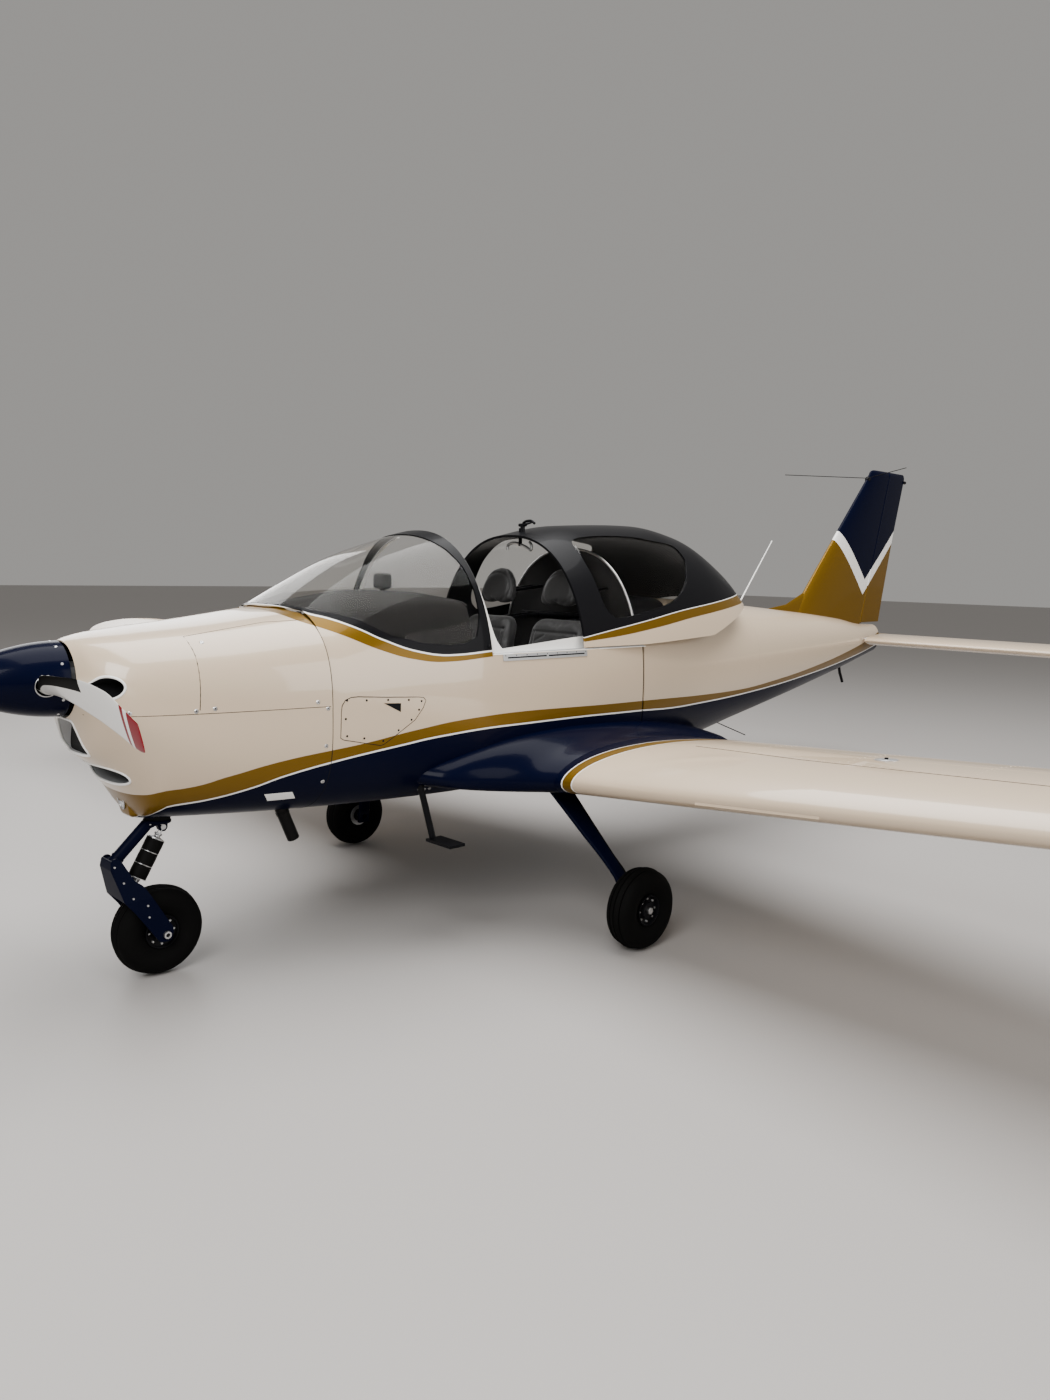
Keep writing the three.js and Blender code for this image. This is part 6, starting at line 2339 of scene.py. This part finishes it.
    def exhaust(self):
        start, end = at(1150, -200, 664), at(1222, -200, 494)
        length = (end - start).length / MM
        rows = [(0, 25), (length, 25), (length, 22.5), (0, 22.5), (0, 25)]
        pipe = turned("pipe", rows, start, end - start, finish("exhaust"), 48)
        low = length * 0.3
        band = [(low, 22), (low, 27), (low + 12, 27), (low + 12, 22), (low, 22)]
        clamp = turned("clamp", band, start, end - start, finish("exhaust"), 48)
        seat_on(join("exhaust_tube", [pipe, clamp]), "airframe", "bare_steel", "exhaust_pipe")

    def wheel(self, name, station, y):
        rows = [(-across, radius) for across, radius in TYRE_WALL] + [(-40, 165)]
        for rib in (-26, 0, 26):
            crown = TYRE_RADIUS - 0.009 * rib * rib
            rows += [(rib - 7, crown - 0.8), (rib - 3, crown), (rib - 2, crown - 6),
                     (rib + 2, crown - 6), (rib + 3, crown), (rib + 7, crown - 0.8)]
        rows += [(40, 165), *reversed(TYRE_WALL), (-40, 66.3)]
        centre = at(station, y, TYRE_RADIUS)
        tyre = turned(name + "_tread", rows, centre, ACROSS, finish("tyre"), 96)
        seat_on(tyre, name + "_wheel", "tyre_rubber", name + "_tyre")
        rim = turned(name + "_rim_body", RIM_ROWS, centre, ACROSS, finish("black"), 64)
        bolts = []
        for angle in circle(8):
            spoke = Vector((math.cos(angle), 0, math.sin(angle)))
            for face in (-1, 1):
                bolts.append((centre + spoke * 0.049 + Vector((0, face * 0.034, 0)), Vector((0, face, 0))))
        heads = studs(name + "_bolts", bolts, 0.0058, 0.006, 6, finish("satin"))
        lip = [(-49, 60), (-51, 63), (-49, RIM_RADIUS), (49, RIM_RADIUS), (51, 63), (49, 60), (-49, 60)]
        ring = turned(name + "_ring", lip, centre, ACROSS, finish("black"), 64)
        disc_side = 1 if y < 0 else -1
        extras = []
        if y:
            extras.append(turned(name + "_disc", [(41, 36), (46, 36), (46, 58), (41, 58), (41, 36)],
                                 centre, (0, disc_side, 0), finish("satin"), 48))
        place = centre + Vector((0.03, -disc_side * 0.036, 0.045))
        valve = turned(name + "_valve", [(0, 0), (0, 4), (14, 3.5), (16, 2.5), (16, 0)], place,
                       (0, -disc_side, 0.35), finish("rubber"), 12)
        rim = join(name + "_hub", [rim, heads, ring, valve, *extras])
        seat_on(rim, name + "_wheel", "wheel_metal", name + "_rim")


# Camera of the photograph
CAMERA_PLACE = (-4.21411, -3.68040, 1.58823)
CAMERA_AIM = (0.68765, 0.71449, -0.12901)
CAMERA_ROLL = 1.27
CAMERA_LENS = 25.855
CAMERA_SENSOR = 36.0


class TRAINER_OT_stage(Operator):
    """Pale floor, soft lights and the camera"""

    bl_idname = "trainer.stage"
    bl_label = "Floor, lights and camera"

    def execute(self, context):
        shade = Shade("studio_floor", roughness=0.55)
        shade.surface.inputs["Base Color"].default_value = tint("floor")
        rows = [[Vector((x, y, -0.001)) for y in (-60, 60)] for x in (-60, 60)]
        points, faces = skin(rows)
        floor = piece("studio_floor", points, faces, shade.material, closed=False)
        world = bpy.data.worlds.new("studio")
        world.use_nodes = True
        world.node_tree.nodes["Background"].inputs["Color"].default_value = (0.86, 0.835, 0.80, 1)
        world.node_tree.nodes["Background"].inputs["Strength"].default_value = 0.40
        context.scene.world = world
        for name, place, aim, size, power in (
            ("key", (-7, -4, 5.5), (-1, 0, 0.9), 4, 520),
            ("fill", (2, -9, 4), (0.5, 0, 0.9), 5, 300),
            ("top", (0, 0, 8), (0, 0, 0), 8, 1350),
            ("rear", (0, 9, 4.5), (0, 0, 1), 5, 260),
        ):
            light = bpy.data.lights.new(name, "AREA")
            light.size = size
            light.energy = power
            lamp = linked(name, light)
            lamp.location = place
            lamp.rotation_euler = (Vector(aim) - Vector(place)).to_track_quat("-Z", "Y").to_euler()
        self.camera(context)
        return {"FINISHED"}

    def camera(self, context):
        ahead = Vector(CAMERA_AIM).normalized()
        level = Vector((ahead.y, -ahead.x, 0)).normalized()
        up = level.cross(ahead)
        roll = math.radians(CAMERA_ROLL)
        right = level * math.cos(roll) + up * math.sin(roll)
        top = up * math.cos(roll) - level * math.sin(roll)
        data = bpy.data.cameras.new("camera")
        data.sensor_fit = "VERTICAL"
        data.sensor_height = CAMERA_SENSOR
        data.lens = CAMERA_LENS
        camera = linked("camera", data)
        turn = Matrix((right, top, -ahead)).transposed().to_4x4()
        camera.matrix_world = Matrix.Translation(Vector(CAMERA_PLACE)) @ turn
        context.scene.camera = camera


STEPS = (
    TRAINER_OT_hull,
    TRAINER_OT_cowling,
    TRAINER_OT_glazing,
    TRAINER_OT_cabin,
    TRAINER_OT_seats,
    TRAINER_OT_wings,
    TRAINER_OT_tail,
    TRAINER_OT_propeller,
    TRAINER_OT_gear,
    TRAINER_OT_stage,
)


class TRAINER_PT_steps(Panel):
    """The steps that build the aircraft"""

    bl_label = "Trainer aircraft"
    bl_idname = "TRAINER_PT_steps"
    bl_space_type = "VIEW_3D"
    bl_region_type = "UI"
    bl_category = "Trainer"

    def draw(self, context):
        for step in STEPS:
            self.layout.operator(step.bl_idname)
        for group in (context.scene.trainer_sizes, context.scene.trainer_colours):
            for name in group.__annotations__:
                self.layout.prop(group, name)


CLASSES = (TrainerSizes, TrainerColours, *STEPS, TRAINER_PT_steps)


def register():
    for cls in CLASSES:
        bpy.utils.register_class(cls)
    bpy.types.Scene.trainer_sizes = PointerProperty(type=TrainerSizes)
    bpy.types.Scene.trainer_colours = PointerProperty(type=TrainerColours)


def unregister():
    del bpy.types.Scene.trainer_colours
    del bpy.types.Scene.trainer_sizes
    for cls in reversed(CLASSES):
        bpy.utils.unregister_class(cls)


def main():
    register()
    for step in STEPS:
        group, name = step.bl_idname.split(".")
        getattr(getattr(bpy.ops, group), name)()


if __name__ == "__main__":
    main()
